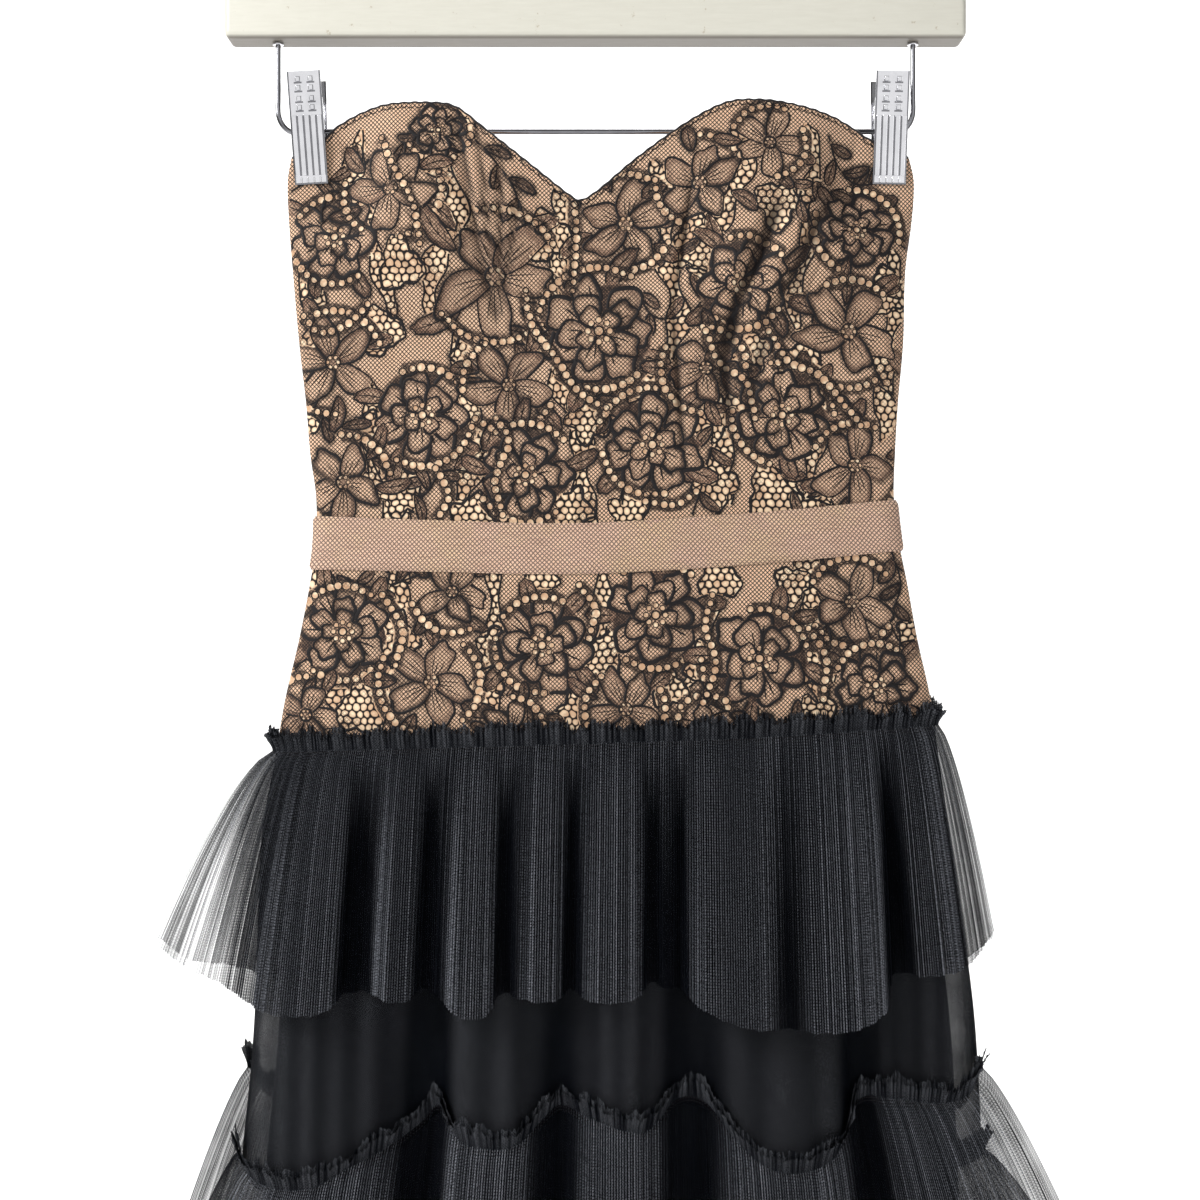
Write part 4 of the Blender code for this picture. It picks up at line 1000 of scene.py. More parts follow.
def thread_lines(shared, vector, way, wobble):
    """Mask of parallel threads that lean one way or the other across the cloth map."""
    parts = shared.node("ShaderNodeSeparateXYZ")
    shared.link(vector, parts.inputs[0])
    u = shared.math("MULTIPLY", parts.outputs[0], way)
    v = shared.math("MULTIPLY", parts.outputs[1], 0.707)
    line = shared.math("ADD", shared.math("ADD", u, v), wobble)
    line = shared.math("DIVIDE", line, shared.start["Pitch"])
    saw = shared.math("FRACT", line)
    away = shared.math("ABSOLUTE", shared.math("SUBTRACT", saw, 0.5))
    return shared.math("GREATER_THAN", shared.math("SUBTRACT", shared.start["Thread"], away), 0.0)


def net_group():
    """Diagonal square net of fine threads."""
    shared = Shared(
        "diagonal net",
        (("Vector", VECTOR, None), ("Pitch", FLOAT, 0.0018), ("Thread", FLOAT, 0.155)),
        (("Threads", FLOAT),),
    )
    vector = shared.start["Vector"]
    drift = shared.math("MULTIPLY", shared.noise(vector, 60.0), 0.0022)
    masks = [thread_lines(shared, vector, way, drift) for way in (0.707, -0.707)]
    shared.link(shared.math("MAXIMUM", *masks), shared.end["Threads"])
    return shared.tree


def cells_group():
    """Round open cells in a honeycomb, a little uneven."""
    shared = Shared(
        "open cells",
        (("Vector", VECTOR, None), ("Cell Size", FLOAT, CELL * MM)),
        (("Border", FLOAT), ("Shade", FLOAT)),
    )
    scale = shared.math("DIVIDE", 1.0, shared.start["Cell Size"])
    spot = shared.vector("SCALE", shared.start["Vector"], factor=scale)
    noise = shared.node("ShaderNodeTexNoise")
    shared.link(spot, noise.inputs["Vector"])
    noise.inputs["Scale"].default_value = 0.45
    away = shared.vector("SUBTRACT", noise.outputs["Color"], (0.5, 0.5, 0.5))
    spot = shared.vector("ADD", spot, shared.vector("SCALE", away, factor=1.1))
    spot = shared.vector("MULTIPLY", spot, (1.0, 1.0, 0.0))
    step = (1.0, 1.7320508, 1.0)
    half = (0.5, 0.8660254, 0.0)
    reach = []
    for start in (spot, shared.vector("ADD", spot, half)):
        share = shared.vector("FRACTION", shared.vector("DIVIDE", start, step))
        centred = shared.vector("SUBTRACT", shared.vector("MULTIPLY", share, step), half)
        reach.append(shared.vector("LENGTH", centred, output="Value"))
    near = shared.math("MINIMUM", *reach)
    wobble = shared.math("MULTIPLY_ADD", noise.outputs["Fac"], 0.1, -0.05)
    near = shared.math("ADD", near, wobble)
    shared.link(shared.ramp(near, 0.35, 0.44), shared.end["Border"])
    shared.link(shared.ramp(near, 0.42, 0.1), shared.end["Shade"])
    return shared.tree


def twill_group():
    """Diagonal ribs of a twill or satin ribbon."""
    shared = Shared(
        "twill ribs",
        (("Vector", VECTOR, None), ("Pitch", FLOAT, 0.001)),
        (("Height", FLOAT), ("Mottle", FLOAT)),
    )
    vector = shared.start["Vector"]
    parts = shared.node("ShaderNodeSeparateXYZ")
    shared.link(vector, parts.inputs[0])
    line = shared.math("ADD", parts.outputs[0], shared.math("MULTIPLY", parts.outputs[1], 1.6))
    line = shared.math("DIVIDE", line, shared.start["Pitch"])
    wave = shared.math("SINE", shared.math("MULTIPLY", line, 6.2832))
    shared.link(shared.math("MULTIPLY_ADD", wave, 0.5, 0.5), shared.end["Height"])
    shared.link(shared.noise(vector, 900.0, 3.0, 0.7), shared.end["Mottle"])
    return shared.tree


def lace_surface(shared):
    """Nude lining under a dark net, with petals, open cells and floss from the masks, and painted shade in
    the creases.
    """
    s = Surface("corded lace over nude lining")
    fill, cells, dark, crease = s.masks()
    place = s.map()
    net = s.group(shared["net"], Vector=place).outputs["Threads"]
    fine_net = s.group(shared["net"], Vector=place, Pitch=0.0014, Thread=0.2).outputs["Threads"]
    hexes = s.group(shared["cells"], Vector=place)
    grain = s.noise(place, 1400.0, 2.0, 0.6)
    blotch = s.noise(place, 60.0, 3.0, 0.6)
    lining = s.blend(blotch, colour(244, 208, 176), colour(220, 180, 148))
    ground = s.blend(s.math("MULTIPLY", net, 0.95), lining, colour(34, 26, 25))
    hatch = s.noise(place, 420.0, 3.0, 0.7)
    petals = s.blend(s.ramp(hatch, 0.3, 0.8), colour(184, 144, 118), colour(96, 74, 65))
    petals = s.blend(s.math("MULTIPLY", fine_net, 0.85), petals, colour(24, 20, 22))
    cover = s.ramp(s.math("MULTIPLY_ADD", hatch, 0.25, fill), 0.12, 1.05)
    look = s.blend(s.math("MULTIPLY", cover, 0.96), ground, petals)
    bright = s.blend(hexes.outputs["Shade"], colour(224, 188, 154), colour(250, 228, 194))
    tint = s.ramp(s.noise(place, 75.0, 3.0, 0.6), 0.44, 0.6)
    bright = s.blend(s.math("MULTIPLY", tint, 0.7), bright, colour(190, 146, 112))
    netted = s.math("MULTIPLY", s.ramp(s.noise(place, 38.0), 0.5, 0.62), net)
    bright = s.blend(s.math("MULTIPLY", netted, 0.6), bright, colour(60, 46, 42))
    in_field = s.math("GREATER_THAN", cells, 0.75)
    border = s.math("MULTIPLY", hexes.outputs["Border"], in_field)
    open_cells = s.blend(border, bright, colour(22, 18, 19))
    look = s.blend(s.math("GREATER_THAN", cells, 0.3), look, open_cells)
    floss = s.ramp(s.math("MULTIPLY_ADD", hatch, 0.5, dark), 0.55, 1.1)
    look = s.blend(s.math("MULTIPLY", floss, 0.9), look, colour(18, 15, 17))
    # painted shade: creases and seam grooves darkened towards brown-black
    look = s.blend(s.math("MULTIPLY", crease, 0.82), look, colour(24, 17, 17))
    s.link(look, s.shader.inputs["Base Color"])
    s.link(s.math("MULTIPLY_ADD", grain, 0.2, 0.6), s.shader.inputs["Roughness"])
    s.shader.inputs["Sheen Weight"].default_value = 0.08
    s.shader.inputs["Specular IOR Level"].default_value = 0.2
    height = s.math("MAXIMUM", border, s.math("MULTIPLY", net, 0.45))
    height = s.math("MULTIPLY_ADD", grain, 0.3, height)
    s.link(s.bump(height, 0.5, 0.0004), s.shader.inputs["Normal"])
    return s.material


def cord_surface():
    s = Surface("black lace cord")
    place = s.place()
    strand = s.noise(place, 1500.0, 2.0, 0.7)
    s.link(s.blend(strand, colour(10, 8, 10), colour(34, 29, 30)), s.shader.inputs["Base Color"])
    s.link(s.math("MULTIPLY_ADD", strand, 0.3, 0.45), s.shader.inputs["Roughness"])
    s.shader.inputs["Sheen Weight"].default_value = 0.1
    s.shader.inputs["Sheen Roughness"].default_value = 0.4
    s.shader.inputs["Specular IOR Level"].default_value = 0.25
    s.link(s.bump(strand, 0.6, 0.0003), s.shader.inputs["Normal"])
    return s.material


def tulle_surface(name, shared, cover, highlight_gain):
    """Sheer net: painted highlights on the pleat ridges and fold crests, painted shade in the gaps between
    folds, thin at the wings.
    """
    s = Surface(name)
    place = s.map()
    ridge, fold, thin, _ = s.masks()
    mesh = s.group(shared["net"], Vector=place, Pitch=0.0012, Thread=0.22).outputs["Threads"]
    drift = s.noise(place, 45.0, 3.0, 0.6)
    speck = s.noise(place, 1100.0, 2.0, 0.7)
    # painted highlight and shade: the ridge and fold masks lift the black net towards a grey highlight
    # colour and leave the fold gaps dark
    lit = s.math("MULTIPLY", s.math("MULTIPLY", ridge, fold), s.math("MULTIPLY_ADD", mesh, 0.6, 0.4))
    lit = s.math("MULTIPLY", lit, s.math("MULTIPLY_ADD", s.ramp(speck, 0.36, 0.64), 1.3, 0.35))
    low = colour(3, 5, 10)
    high = colour(*(channel * highlight_gain for channel in (136, 139, 147)))
    s.link(s.blend(lit, low, high), s.shader.inputs["Base Color"])
    facing = s.node("ShaderNodeLayerWeight")
    facing.inputs["Blend"].default_value = 0.3
    solid = s.math("MULTIPLY_ADD", facing.outputs["Facing"], 0.5, cover)
    solid = s.math("ADD", solid, s.math("MULTIPLY_ADD", mesh, 0.2, -0.1))
    solid = s.math("ADD", solid, s.math("MULTIPLY_ADD", drift, 0.24, -0.12))
    solid = s.math("SUBTRACT", solid, s.math("MULTIPLY", thin, 0.7), clamp=True)
    s.link(solid, s.shader.inputs["Alpha"])
    s.link(s.math("MULTIPLY_ADD", mesh, 0.2, 0.55), s.shader.inputs["Roughness"])
    s.shader.inputs["Specular IOR Level"].default_value = 0.05
    s.link(s.bump(mesh, 0.3, 0.0002), s.shader.inputs["Normal"])
    return s.material


def cloth_surface(name, shared, dark, light, rough, sheen, pitch):
    """Plain woven cloth with fine ribs."""
    s = Surface(name)
    place = s.map()
    ribs = s.group(shared["twill"], Vector=place, Pitch=pitch)
    drift = s.noise(place, 30.0, 3.0, 0.6)
    shade = s.blend(drift, dark, light)
    shade = s.blend(s.math("MULTIPLY", ribs.outputs["Mottle"], 0.35), shade, light)
    s.link(shade, s.shader.inputs["Base Color"])
    s.link(s.math("MULTIPLY_ADD", ribs.outputs["Mottle"], 0.2, rough), s.shader.inputs["Roughness"])
    s.shader.inputs["Sheen Weight"].default_value = sheen
    s.shader.inputs["Specular IOR Level"].default_value = 0.3
    s.link(s.bump(ribs.outputs["Height"], 0.35, 0.0002), s.shader.inputs["Normal"])
    return s.material


def ribbon_surface(shared):
    """Rose-beige ribbon: fine diagonal ribs, lengthwise streaks, a faint change of hue, and painted shade
    in the troughs of the ribs.
    """
    s = Surface("twill ribbon")
    place = s.map()
    ribs = s.group(shared["twill"], Vector=place, Pitch=0.0014)
    cross = s.group(shared["net"], Vector=place, Pitch=0.0019, Thread=0.17).outputs["Threads"]
    stretch = s.stretched(place, (0.07, 1.0, 1.0))
    streaks = s.noise(stretch, 900.0, 3.0, 0.7)
    hue = s.noise(place, 22.0, 4.0, 0.7)
    shade = s.blend(s.ramp(hue, 0.42, 0.6), colour(250, 214, 186), colour(250, 218, 178))
    shade = s.blend(s.ramp(hue, 0.62, 0.7), shade, colour(244, 198, 188))
    shade = s.blend(s.math("MULTIPLY", s.ramp(streaks, 0.45, 0.75), 0.6), shade, colour(170, 124, 104))
    shade = s.blend(s.math("MULTIPLY", cross, 0.9), shade, colour(92, 68, 58))
    # painted shade in the troughs of the twill ribs
    dark = s.math("MULTIPLY", s.math("SUBTRACT", 1.0, ribs.outputs["Height"]), 0.3)
    shade = s.blend(dark, shade, colour(128, 90, 76))
    s.link(shade, s.shader.inputs["Base Color"])
    s.link(s.math("MULTIPLY_ADD", ribs.outputs["Mottle"], 0.25, 0.45), s.shader.inputs["Roughness"])
    s.shader.inputs["Sheen Weight"].default_value = 0.1
    s.shader.inputs["Anisotropic"].default_value = 0.3
    height = s.math("ADD", ribs.outputs["Height"], ribs.outputs["Mottle"])
    s.link(s.bump(height, 0.5, 0.0003), s.shader.inputs["Normal"])
    return s.material


def paint_surface():
    """Off-white paint on wood, with brush marks, scuffs and worn edges, and painted shade on the faces that
    point down.
    """
    s = Surface("painted wood")
    place = s.place()
    stretch = s.stretched(place, (1.0, 9.0, 9.0))
    strokes = s.noise(stretch, 60.0, 4.0, 0.65)
    marks = s.noise(place, 160.0, 5.0, 0.7)
    chips = s.ramp(marks, 0.66, 0.7)
    shade = s.blend(strokes, colour(218, 216, 204), colour(204, 201, 188))
    shade = s.blend(s.math("MULTIPLY", chips, 0.75), shade, colour(178, 166, 144))
    # painted shade: faces that point down are darkened to grey
    facing = s.node("ShaderNodeSeparateXYZ")
    s.link(s.node("ShaderNodeNewGeometry").outputs["Normal"], facing.inputs[0])
    shade = s.blend(s.ramp(facing.outputs[2], -0.5, -0.9), shade, colour(122, 116, 107))
    s.link(shade, s.shader.inputs["Base Color"])
    s.link(s.math("MULTIPLY_ADD", strokes, 0.25, 0.3), s.shader.inputs["Roughness"])
    height = s.math("SUBTRACT", s.math("MULTIPLY", strokes, 0.5), chips)
    s.link(s.bump(height, 0.35, 0.0003), s.shader.inputs["Normal"])
    return s.material


def chrome_surface(name, dull, bright):
    s = Surface(name)
    place = s.place()
    stretch = s.stretched(place, (3.0, 3.0, 0.4))
    rub = s.noise(stretch, 900.0, 3.0, 0.6)
    haze = s.noise(place, 90.0, 3.0, 0.6)
    s.link(s.blend(haze, dull, bright), s.shader.inputs["Base Color"])
    s.shader.inputs["Metallic"].default_value = 1.0
    s.link(s.math("MULTIPLY_ADD", rub, 0.14, 0.06), s.shader.inputs["Roughness"])
    s.link(s.bump(rub, 0.12, 0.0001), s.shader.inputs["Normal"])
    return s.material


def plain_surface(name, shade, rough):
    s = Surface(name)
    s.link(s.blend(s.noise(s.place(), 3.0), shade, shade), s.shader.inputs["Base Color"])
    s.shader.inputs["Roughness"].default_value = rough
    return s.material


# Plain cloths: key, name, dark and light colour, roughness, sheen, pitch of the ribs
PLAIN_CLOTHS = (
    ("lining", "black skirt lining", (8, 8, 11), (20, 20, 23), 0.42, 0.1, 0.0008),
    ("nude", "nude bodice lining", (188, 150, 120), (208, 172, 142), 0.5, 0.1, 0.0009),
    ("piping", "black edge binding", (14, 12, 14), (34, 30, 31), 0.55, 0.2, 0.001),
    ("tape", "black zip tape", (20, 18, 20), (38, 35, 37), 0.6, 0.2, 0.0012),
)


def make_materials():
    shared = {"net": net_group(), "cells": cells_group(), "twill": twill_group()}
    kinds = {
        "lace": lace_surface(shared),
        "cord": cord_surface(),
        "tulle": tulle_surface("pleated tulle", shared, 0.84, 1.0),
        "plain tulle": tulle_surface("plain tulle", shared, 0.76, 0.42),
        "frill": tulle_surface("gathered tulle frill", shared, 0.95, 0.6),
        "ribbon": ribbon_surface(shared),
        "paint": paint_surface(),
        "chrome": chrome_surface("chrome", colour(206, 206, 210), colour(240, 240, 243)),
        # darker copy of the chrome: painted shade and dark reflections on the wires and the clips' shaded
        # faces
        "wire": chrome_surface("darkened chrome for painted shade", colour(112, 112, 116), colour(150, 150, 154)),
    }
    for kind, name, dark, light, rough, sheen, pitch in PLAIN_CLOTHS:
        kinds[kind] = cloth_surface(name, shared, colour(*dark), colour(*light), rough, sheen, pitch)
    return kinds


# Bodice and hip yoke


FRONT_PITCH = 1.35
BACK_PITCH = 2.3
BODICE_MIDDLE = 320.0
YOKE_MIDDLE = 490.0
# name, face, left seam, right seam, top line, bottom line
PANELS = (
    ("front_side_left", "front", "side", PRINCESS_LEFT, FRONT_NECK, WAIST),
    ("front_centre_left", "front", PRINCESS_LEFT, CENTRE_FRONT, FRONT_NECK, WAIST),
    ("front_centre_right", "front", CENTRE_FRONT, PRINCESS_RIGHT, FRONT_NECK, WAIST),
    ("front_side_right", "front", PRINCESS_RIGHT, "side", FRONT_NECK, WAIST),
    ("back_side_left", "back", "side", BACK_SEAM_LEFT, BACK_NECK, WAIST),
    ("back_centre_left", "back", BACK_SEAM_LEFT, CENTRE_BACK_LEFT, BACK_NECK, WAIST),
    ("back_centre_right", "back", CENTRE_BACK_RIGHT, BACK_SEAM_RIGHT, BACK_NECK, WAIST),
    ("back_side_right", "back", BACK_SEAM_RIGHT, "side", BACK_NECK, WAIST),
    ("yoke_front_left", "front", "side", YOKE_SEAM_LEFT, WAIST, HIP),
    ("yoke_front_centre", "front", YOKE_SEAM_LEFT, YOKE_SEAM_RIGHT, WAIST, HIP),
    ("yoke_front_right", "front", YOKE_SEAM_RIGHT, "side", WAIST, HIP),
    ("yoke_back_side_left", "back", "side", YOKE_BACK_LEFT, WAIST, HIP),
    ("yoke_back_left", "back", YOKE_BACK_LEFT, CENTRE_BACK_LEFT, WAIST, HIP),
    ("yoke_back_right", "back", CENTRE_BACK_RIGHT, YOKE_BACK_RIGHT, WAIST, HIP),
    ("yoke_back_side_right", "back", YOKE_BACK_RIGHT, "side", WAIST, HIP),
)


def lace_panels(kinds, picture):
    for name, face, start, end, top, bottom in PANELS:
        pitch = FRONT_PITCH if face == "front" else BACK_PITCH
        width, height = panel_size(start, end, top, bottom)
        columns = int(width / pitch)
        rows = int(height / pitch)
        x, drop = panel_grid(start, end, top, bottom, columns, rows)
        points = cloth_points(face, x, drop)
        uv = np.stack([x, -drop], axis=-1) * MM
        masks = lace_masks(picture, face, x, drop)
        faces = grid_faces(rows + 1, columns + 1, flip=face == "back")
        shell = mesh_piece(name + "_lace", points, faces, kinds["lace"], uv, masks)
        dress_piece(shell, (name,))
        lining_panel(name, face, start, end, top, bottom, kinds)


def lining_panel(name, face, start, end, top, bottom, kinds):
    """Nude lining, one wall in from the lace, seen through the open top."""
    x, drop = panel_grid(start, end, top, bottom, 30, 34, inset=BODICE_WALL)
    drop = drop + 0.6 * np.linspace(1.0, 0.0, 35)[:, None]
    asides = (-7.0, -4.5, -2.0, 0.0, 2.0, 4.5, 7.0)
    nearby = [cloth_depth(face, x + aside, drop) for aside in asides]
    depth = np.minimum.reduce(nearby) - 1.4 * BODICE_WALL + boning(x, drop)
    depth = np.maximum(SEAM_HALF_GAP, depth * cap_factor(x, drop, BODICE_WALL))
    points = np.stack([x, sign_of(face) * depth, -drop], axis=-1) * MM
    uv = np.stack([x, -drop], axis=-1) * MM
    faces = grid_faces(35, 31, flip=face == "front")
    piece = mesh_piece(name + "_lining", points, faces, kinds["nude"], uv)
    dress_piece(piece)
    height = panel_size(start, end, top, bottom)[1]


def boning(x, drop):
    """Raised channels on the inside of the lining, two to a panel."""
    wave = np.abs(((x + 0.06 * (drop - 300.0)) / 42.0) % 1.0 - 0.5) * 42.0
    return -0.5 * np.exp(-((wave - 3.5) ** 2) / 1.2)


def tube(name, line, radius, kind, sides=6, nodes=()):
    """Thin round cord along a line of points in metres."""
    line = np.asarray(line, float)
    along = np.gradient(line, axis=0)
    along /= np.linalg.norm(along, axis=1)[:, None] + 1e-12
    guide = np.where(np.abs(along[:, 1:2]) < 0.9, [[0.0, 1.0, 0.0]], [[1.0, 0.0, 0.0]])
    one = np.cross(along, guide)
    one /= np.linalg.norm(one, axis=1)[:, None]
    two = np.cross(along, one)
    radius = np.broadcast_to(np.asarray(radius, float), (len(line),))[:, None, None]
    t = full_turn(sides)
    ring = one[:, None, :] * np.cos(t)[None, :, None] + two[:, None, :] * np.sin(t)[None, :, None]
    points = line[:, None, :] + ring * radius
    faces = list(grid_faces(len(line), sides, wrap=True))
    faces.append(range(sides))
    last = (len(line) - 1) * sides
    faces.append(range(last + sides - 1, last - 1, -1))
    v = np.concatenate([[0.0], np.cumsum(np.linalg.norm(np.diff(line, axis=0), axis=1))])
    uv = np.stack(np.broadcast_arrays(v[:, None], t * 0.0005), axis=-1)
    return dress_piece(mesh_piece(name, points, faces, kind, uv), nodes)


def neck_bindings(kinds):
    """Narrow black binding that rolls over the top edge of each side."""
    for face, top in (("front", FRONT_NECK), ("back", BACK_NECK)):
        x = np.linspace(-184.0 + 0.6, 189.6 - 0.6, 320)
        drop = track(top, 1, x) + 0.3
        points = cloth_points(face, x, drop, out=-0.5, fine=False)
        points[:, 2] += 0.25 * MM * np.sin(np.arange(320) * 1.1)
        tube(face + "_neckline_binding", points, 0.85 * MM, kinds["piping"])


# Corded lace


CORD_HEIGHT = 0.75


def cord_meshes(face, cords, kinds):
    """All cords of one side, as raised strips of three points across, in a few pieces."""
    batches = []
    points, faces, count = [], [], 0
    for line, width, _ in cords:
        if face == "back":
            line = np.array([2.0 * CENTRE_SHIFT, 0.0]) + line * np.array([-1.0, 1.0])
        kept = on_cloth(face, line)
        if kept is None:
            continue
        line = line[kept]
        width = width[kept]
        across = sideways(line, 1e-9)
        across *= 0.5 * width[:, None]
        rows = []
        for shift, out in ((-1.0, -0.15), (0.0, CORD_HEIGHT), (1.0, -0.15)):
            spot = line + across * shift
            lift = out if out < 0.0 else out * np.minimum(1.0, width / 1.1)
            rows.append(cloth_points(face, spot[:, 0], spot[:, 1], out=lift))
        points.append(np.stack(rows, axis=1).reshape(-1, 3))
        faces.append(grid_faces(len(line), 3, flip=face == "front") + count)
        count += len(line) * 3
        if count > 60000:
            batches.append((points, faces))
            points, faces, count = [], [], 0
    if points:
        batches.append((points, faces))
    for k, (grids, strips) in enumerate(batches):
        name = face + "_lace_cords_" + str(k + 1)
        piece = mesh_piece(name, np.concatenate(grids), np.concatenate(strips), kinds["cord"])
        face_out(piece, face)
        dress_piece(piece)


def face_out(piece, face):
    """Turns a strip mesh's faces to the side that it is seen from."""
    way = sign_of(face)
    normals = np.empty(len(piece.data.polygons) * 3)
    piece.data.polygons.foreach_get("normal", normals)
    if (normals[1::3] * way).mean() < 0.0:
        piece.data.flip_normals()


def on_cloth(face, line):
    """Stretch of a cord that lies on the bodice or the yoke."""
    top = FRONT_NECK if face == "front" else BACK_NECK
    left, right = side_edges(line[:, 1])
    x, drop = line.T
    fits = (drop > track(top, 1, x) + 1.0) & (drop < track(HIP, 1, x) + 1.0)
    fits &= (x > left + 1.2) & (x < right - 1.2)
    runs = np.flatnonzero(np.diff(np.concatenate([[0], fits.astype(int), [0]])))
    spans = list(zip(runs[::2], runs[1::2])) or [(0, 0)]
    first, last = max(spans, key=lambda span: span[1] - span[0])
    return None if last - first < 3 else slice(first, last)


def scallop_edge(design, top, seed):
    """Small loops of cord along a neckline, as the lace's own edge."""
    rng = random.Random(seed)
    x = -182.0
    while x < 186.0:
        step = rng.uniform(3.0, 5.0)
        t = np.linspace(0.0, np.pi, 7)
        line = np.stack([x + step * (1.0 - np.cos(t)) / 2.0, np.full(7, 0.0)], axis=-1)
        line[:, 1] = track(top, 1, line[:, 0]) + 1.6 + 1.8 * np.sin(t)
        design.add(line, 0.8)
        x += step


# Belt and zip


def belt_shell(kinds):
    """Ribbon belt with turned edges, as one strip open at the centre back."""
    centre_back = 0.5 * (CENTRE_BACK_LEFT[0][1] + CENTRE_BACK_RIGHT[0][1]) + 2.0
    half = 80
    stations = {
        "front": 0.5 - 0.5 * np.cos(np.linspace(0.0, 1.0, 190) * np.pi),
        "back": np.concatenate([
            np.linspace(0.4999, 0.0, half)[:-1],
            np.linspace(1.0, 0.5001, half)[1:],
        ]),
    }
    rows = 16
    grids = []
    for r in range(rows + 1):
        part = {}
        for face, shares in stations.items():
            drop = np.full(len(shares), 430.0)
            for _ in range(8):
                left, right = side_edges(drop)
                if face == "front":
                    x = mix(left, right, shares)
                else:
                    high = mix(centre_back + BELT_END_HALF_GAP, right, (shares - 0.5) * 2.0)
                    low = mix(left, centre_back - BELT_END_HALF_GAP, shares * 2.0)
                    x = np.where(shares > 0.5, high, low)
                drop = mix(track(BELT_EDGES, 1, x), track(BELT_EDGES, 2, x), r / rows)
            depth = cloth_depth(face, x, drop, fine=False) * cap_factor(x, drop)
            part[face] = np.stack([x, sign_of(face) * depth, drop], axis=-1)
        back = part["back"]
        grids.append(np.concatenate([back[:half - 1], part["front"], back[half - 1:]]))
    grid = np.stack(grids)
    along = np.gradient(grid[..., :2], axis=1)
    along /= np.linalg.norm(along, axis=-1)[..., None] + 1e-9
    down = np.linspace(0.0, 1.0, rows + 1)[:, None]
    edge = np.minimum(down, 1.0 - down)
    swell = BELT_STAND_OFF + BELT_WALL * np.sqrt(np.clip(edge / 0.07, 0.0, 1.0))
    reach = np.cumsum(np.linalg.norm(np.diff(grid[8, :, :2], axis=0), axis=1))
    reach = np.concatenate([[0.0], reach])
    wave = 0.35 * np.sin(reach / 19.0 + down * 2.2) + 0.25 * np.sin(reach / 7.3 - down * 3.1)
    stitch = 0.18 * np.exp(-(((edge - 0.075) / 0.02) ** 2)) * (1.0 + np.sin(reach * 2.4))
    out = swell + wave * ease(edge * 5.0) - stitch
    points = grid.copy()
    points[..., 0] += along[..., 1] * out
    points[..., 1] -= along[..., 0] * out
    points[..., 2] *= -1.0
    uv = np.stack([np.broadcast_to(reach, grid.shape[:2]), -grid[..., 2]], axis=-1) * MM
    faces = grid_faces(rows + 1, grid.shape[1])
    piece = mesh_piece("ribbon_belt", points * MM, faces, kinds["ribbon"], uv)
    dress_piece(piece, ("belt",))


def zip_shell(kinds):
    rows = 150
    drop = np.linspace(float(track(BACK_NECK, 1, 3.0)) + 1.0, float(track(HIP, 1, 5.0)) - 1.0, rows + 1)
    left = track(CENTRE_BACK_LEFT, 1, drop) - 1.2
    right = track(CENTRE_BACK_RIGHT, 1, drop) + 1.2
    shares = np.linspace(0.0, 1.0, 9)
    x = mix(left[:, None], right[:, None], shares[None, :])
    wide = np.broadcast_to(drop[:, None], x.shape)
    away = np.abs(shares - 0.5)[None, :]
    ridge = np.where(away < 0.06, -0.3, 0.35 * (1.0 - 2.0 * away))
    points = cloth_points("back", x, wide, out=ridge - 0.25)
    uv = np.stack([x, -wide], axis=-1) * MM
    piece = mesh_piece("zip_tape", points, grid_faces(rows + 1, 9, flip=True), kinds["tape"], uv)
    dress_piece(piece, ("back_zip",))
    centre = 0.5 * (left[0] + right[0])
    pull_drop = drop[0] + 5.0
    anchor = cloth_points("back", np.array([centre]), np.array([pull_drop]), out=0.4)[0]
    zip_pull(anchor, kinds)
    teeth(kinds, drop)


def teeth(kinds, drop):
    """Row of small coil loops down the slit, one mesh of short blocks."""
    spots = np.arange(drop[0] + 8.0, drop[-1] - 4.0, 1.6)
    centre = 0.5 * (track(CENTRE_BACK_LEFT, 1, spots) + track(CENTRE_BACK_RIGHT, 1, spots))
    base = cloth_points("back", centre, spots, out=-0.15)
    cube = np.array([(x, y, z) for z in (-1, 1) for y in (-1, 1) for x in (-1, 1)], float)
    size = np.array([0.85, 0.3, 0.5]) * MM
    points = base[:, None, :] + cube[None, :, :] * size
    quads = np.array([(0, 2, 3, 1), (4, 5, 7, 6), (0, 1, 5, 4), (2, 6, 7, 3), (0, 4, 6, 2), (1, 3, 7, 5)])
    faces = (quads[None] + 8 * np.arange(len(spots))[:, None, None]).reshape(-1, 4)
    piece = mesh_piece("zip_coil", points, faces, kinds["tape"], smooth=False)
    dress_piece(piece)


def zip_pull(anchor, kinds):
    """Slider and its drop-shaped tab, modelled from a small block."""
    for name, offset, size, top, rounding in (
        ("zip_slider", (0.0, 0.9, -1.5), (4.2, 1.6, 6.5), 1.0, 0.5),
        ("zip_pull_tab", (0.0, 1.9, -9.5), (3.0, 0.7, 13.0), 0.55, 0.3),
    ):
        piece = start_block(name, anchor + np.array(offset) * MM, [side * MM for side in size])
        narrow_top(piece, top)
        bevel_all(piece, rounding * MM, 2)
        piece.data.materials.append(kinds["chrome"])
        dress_piece(piece)


# Hard pieces, modelled one by one


SIDES = (("left", -1.0), ("right", 1.0))


def deselect():
    bpy.ops.object.select_all(action="DESELECT")


def only(piece):
    deselect()
    piece.select_set(True)
    bpy.context.view_layer.objects.active = piece


def settle(piece):
    """Puts a piece's place, turn and size into its mesh."""
    only(piece)
    bpy.ops.object.transform_apply(location=True, rotation=True, scale=True)


def start_block(name, centre, size):
    deselect()
    bpy.ops.mesh.primitive_cube_add(size=1.0, location=tuple(centre))
    piece = bpy.context.object
    piece.name = name
    piece.scale = size
    settle(piece)
    return piece


def bevel_all(piece, width, segments, angle=30.0):
    limit = math.radians(angle)
    apply_modifier(piece, "BEVEL", width=width, segments=segments, limit_method="ANGLE", angle_limit=limit)
    bpy.ops.object.shade_smooth_by_angle(angle=math.radians(40.0))


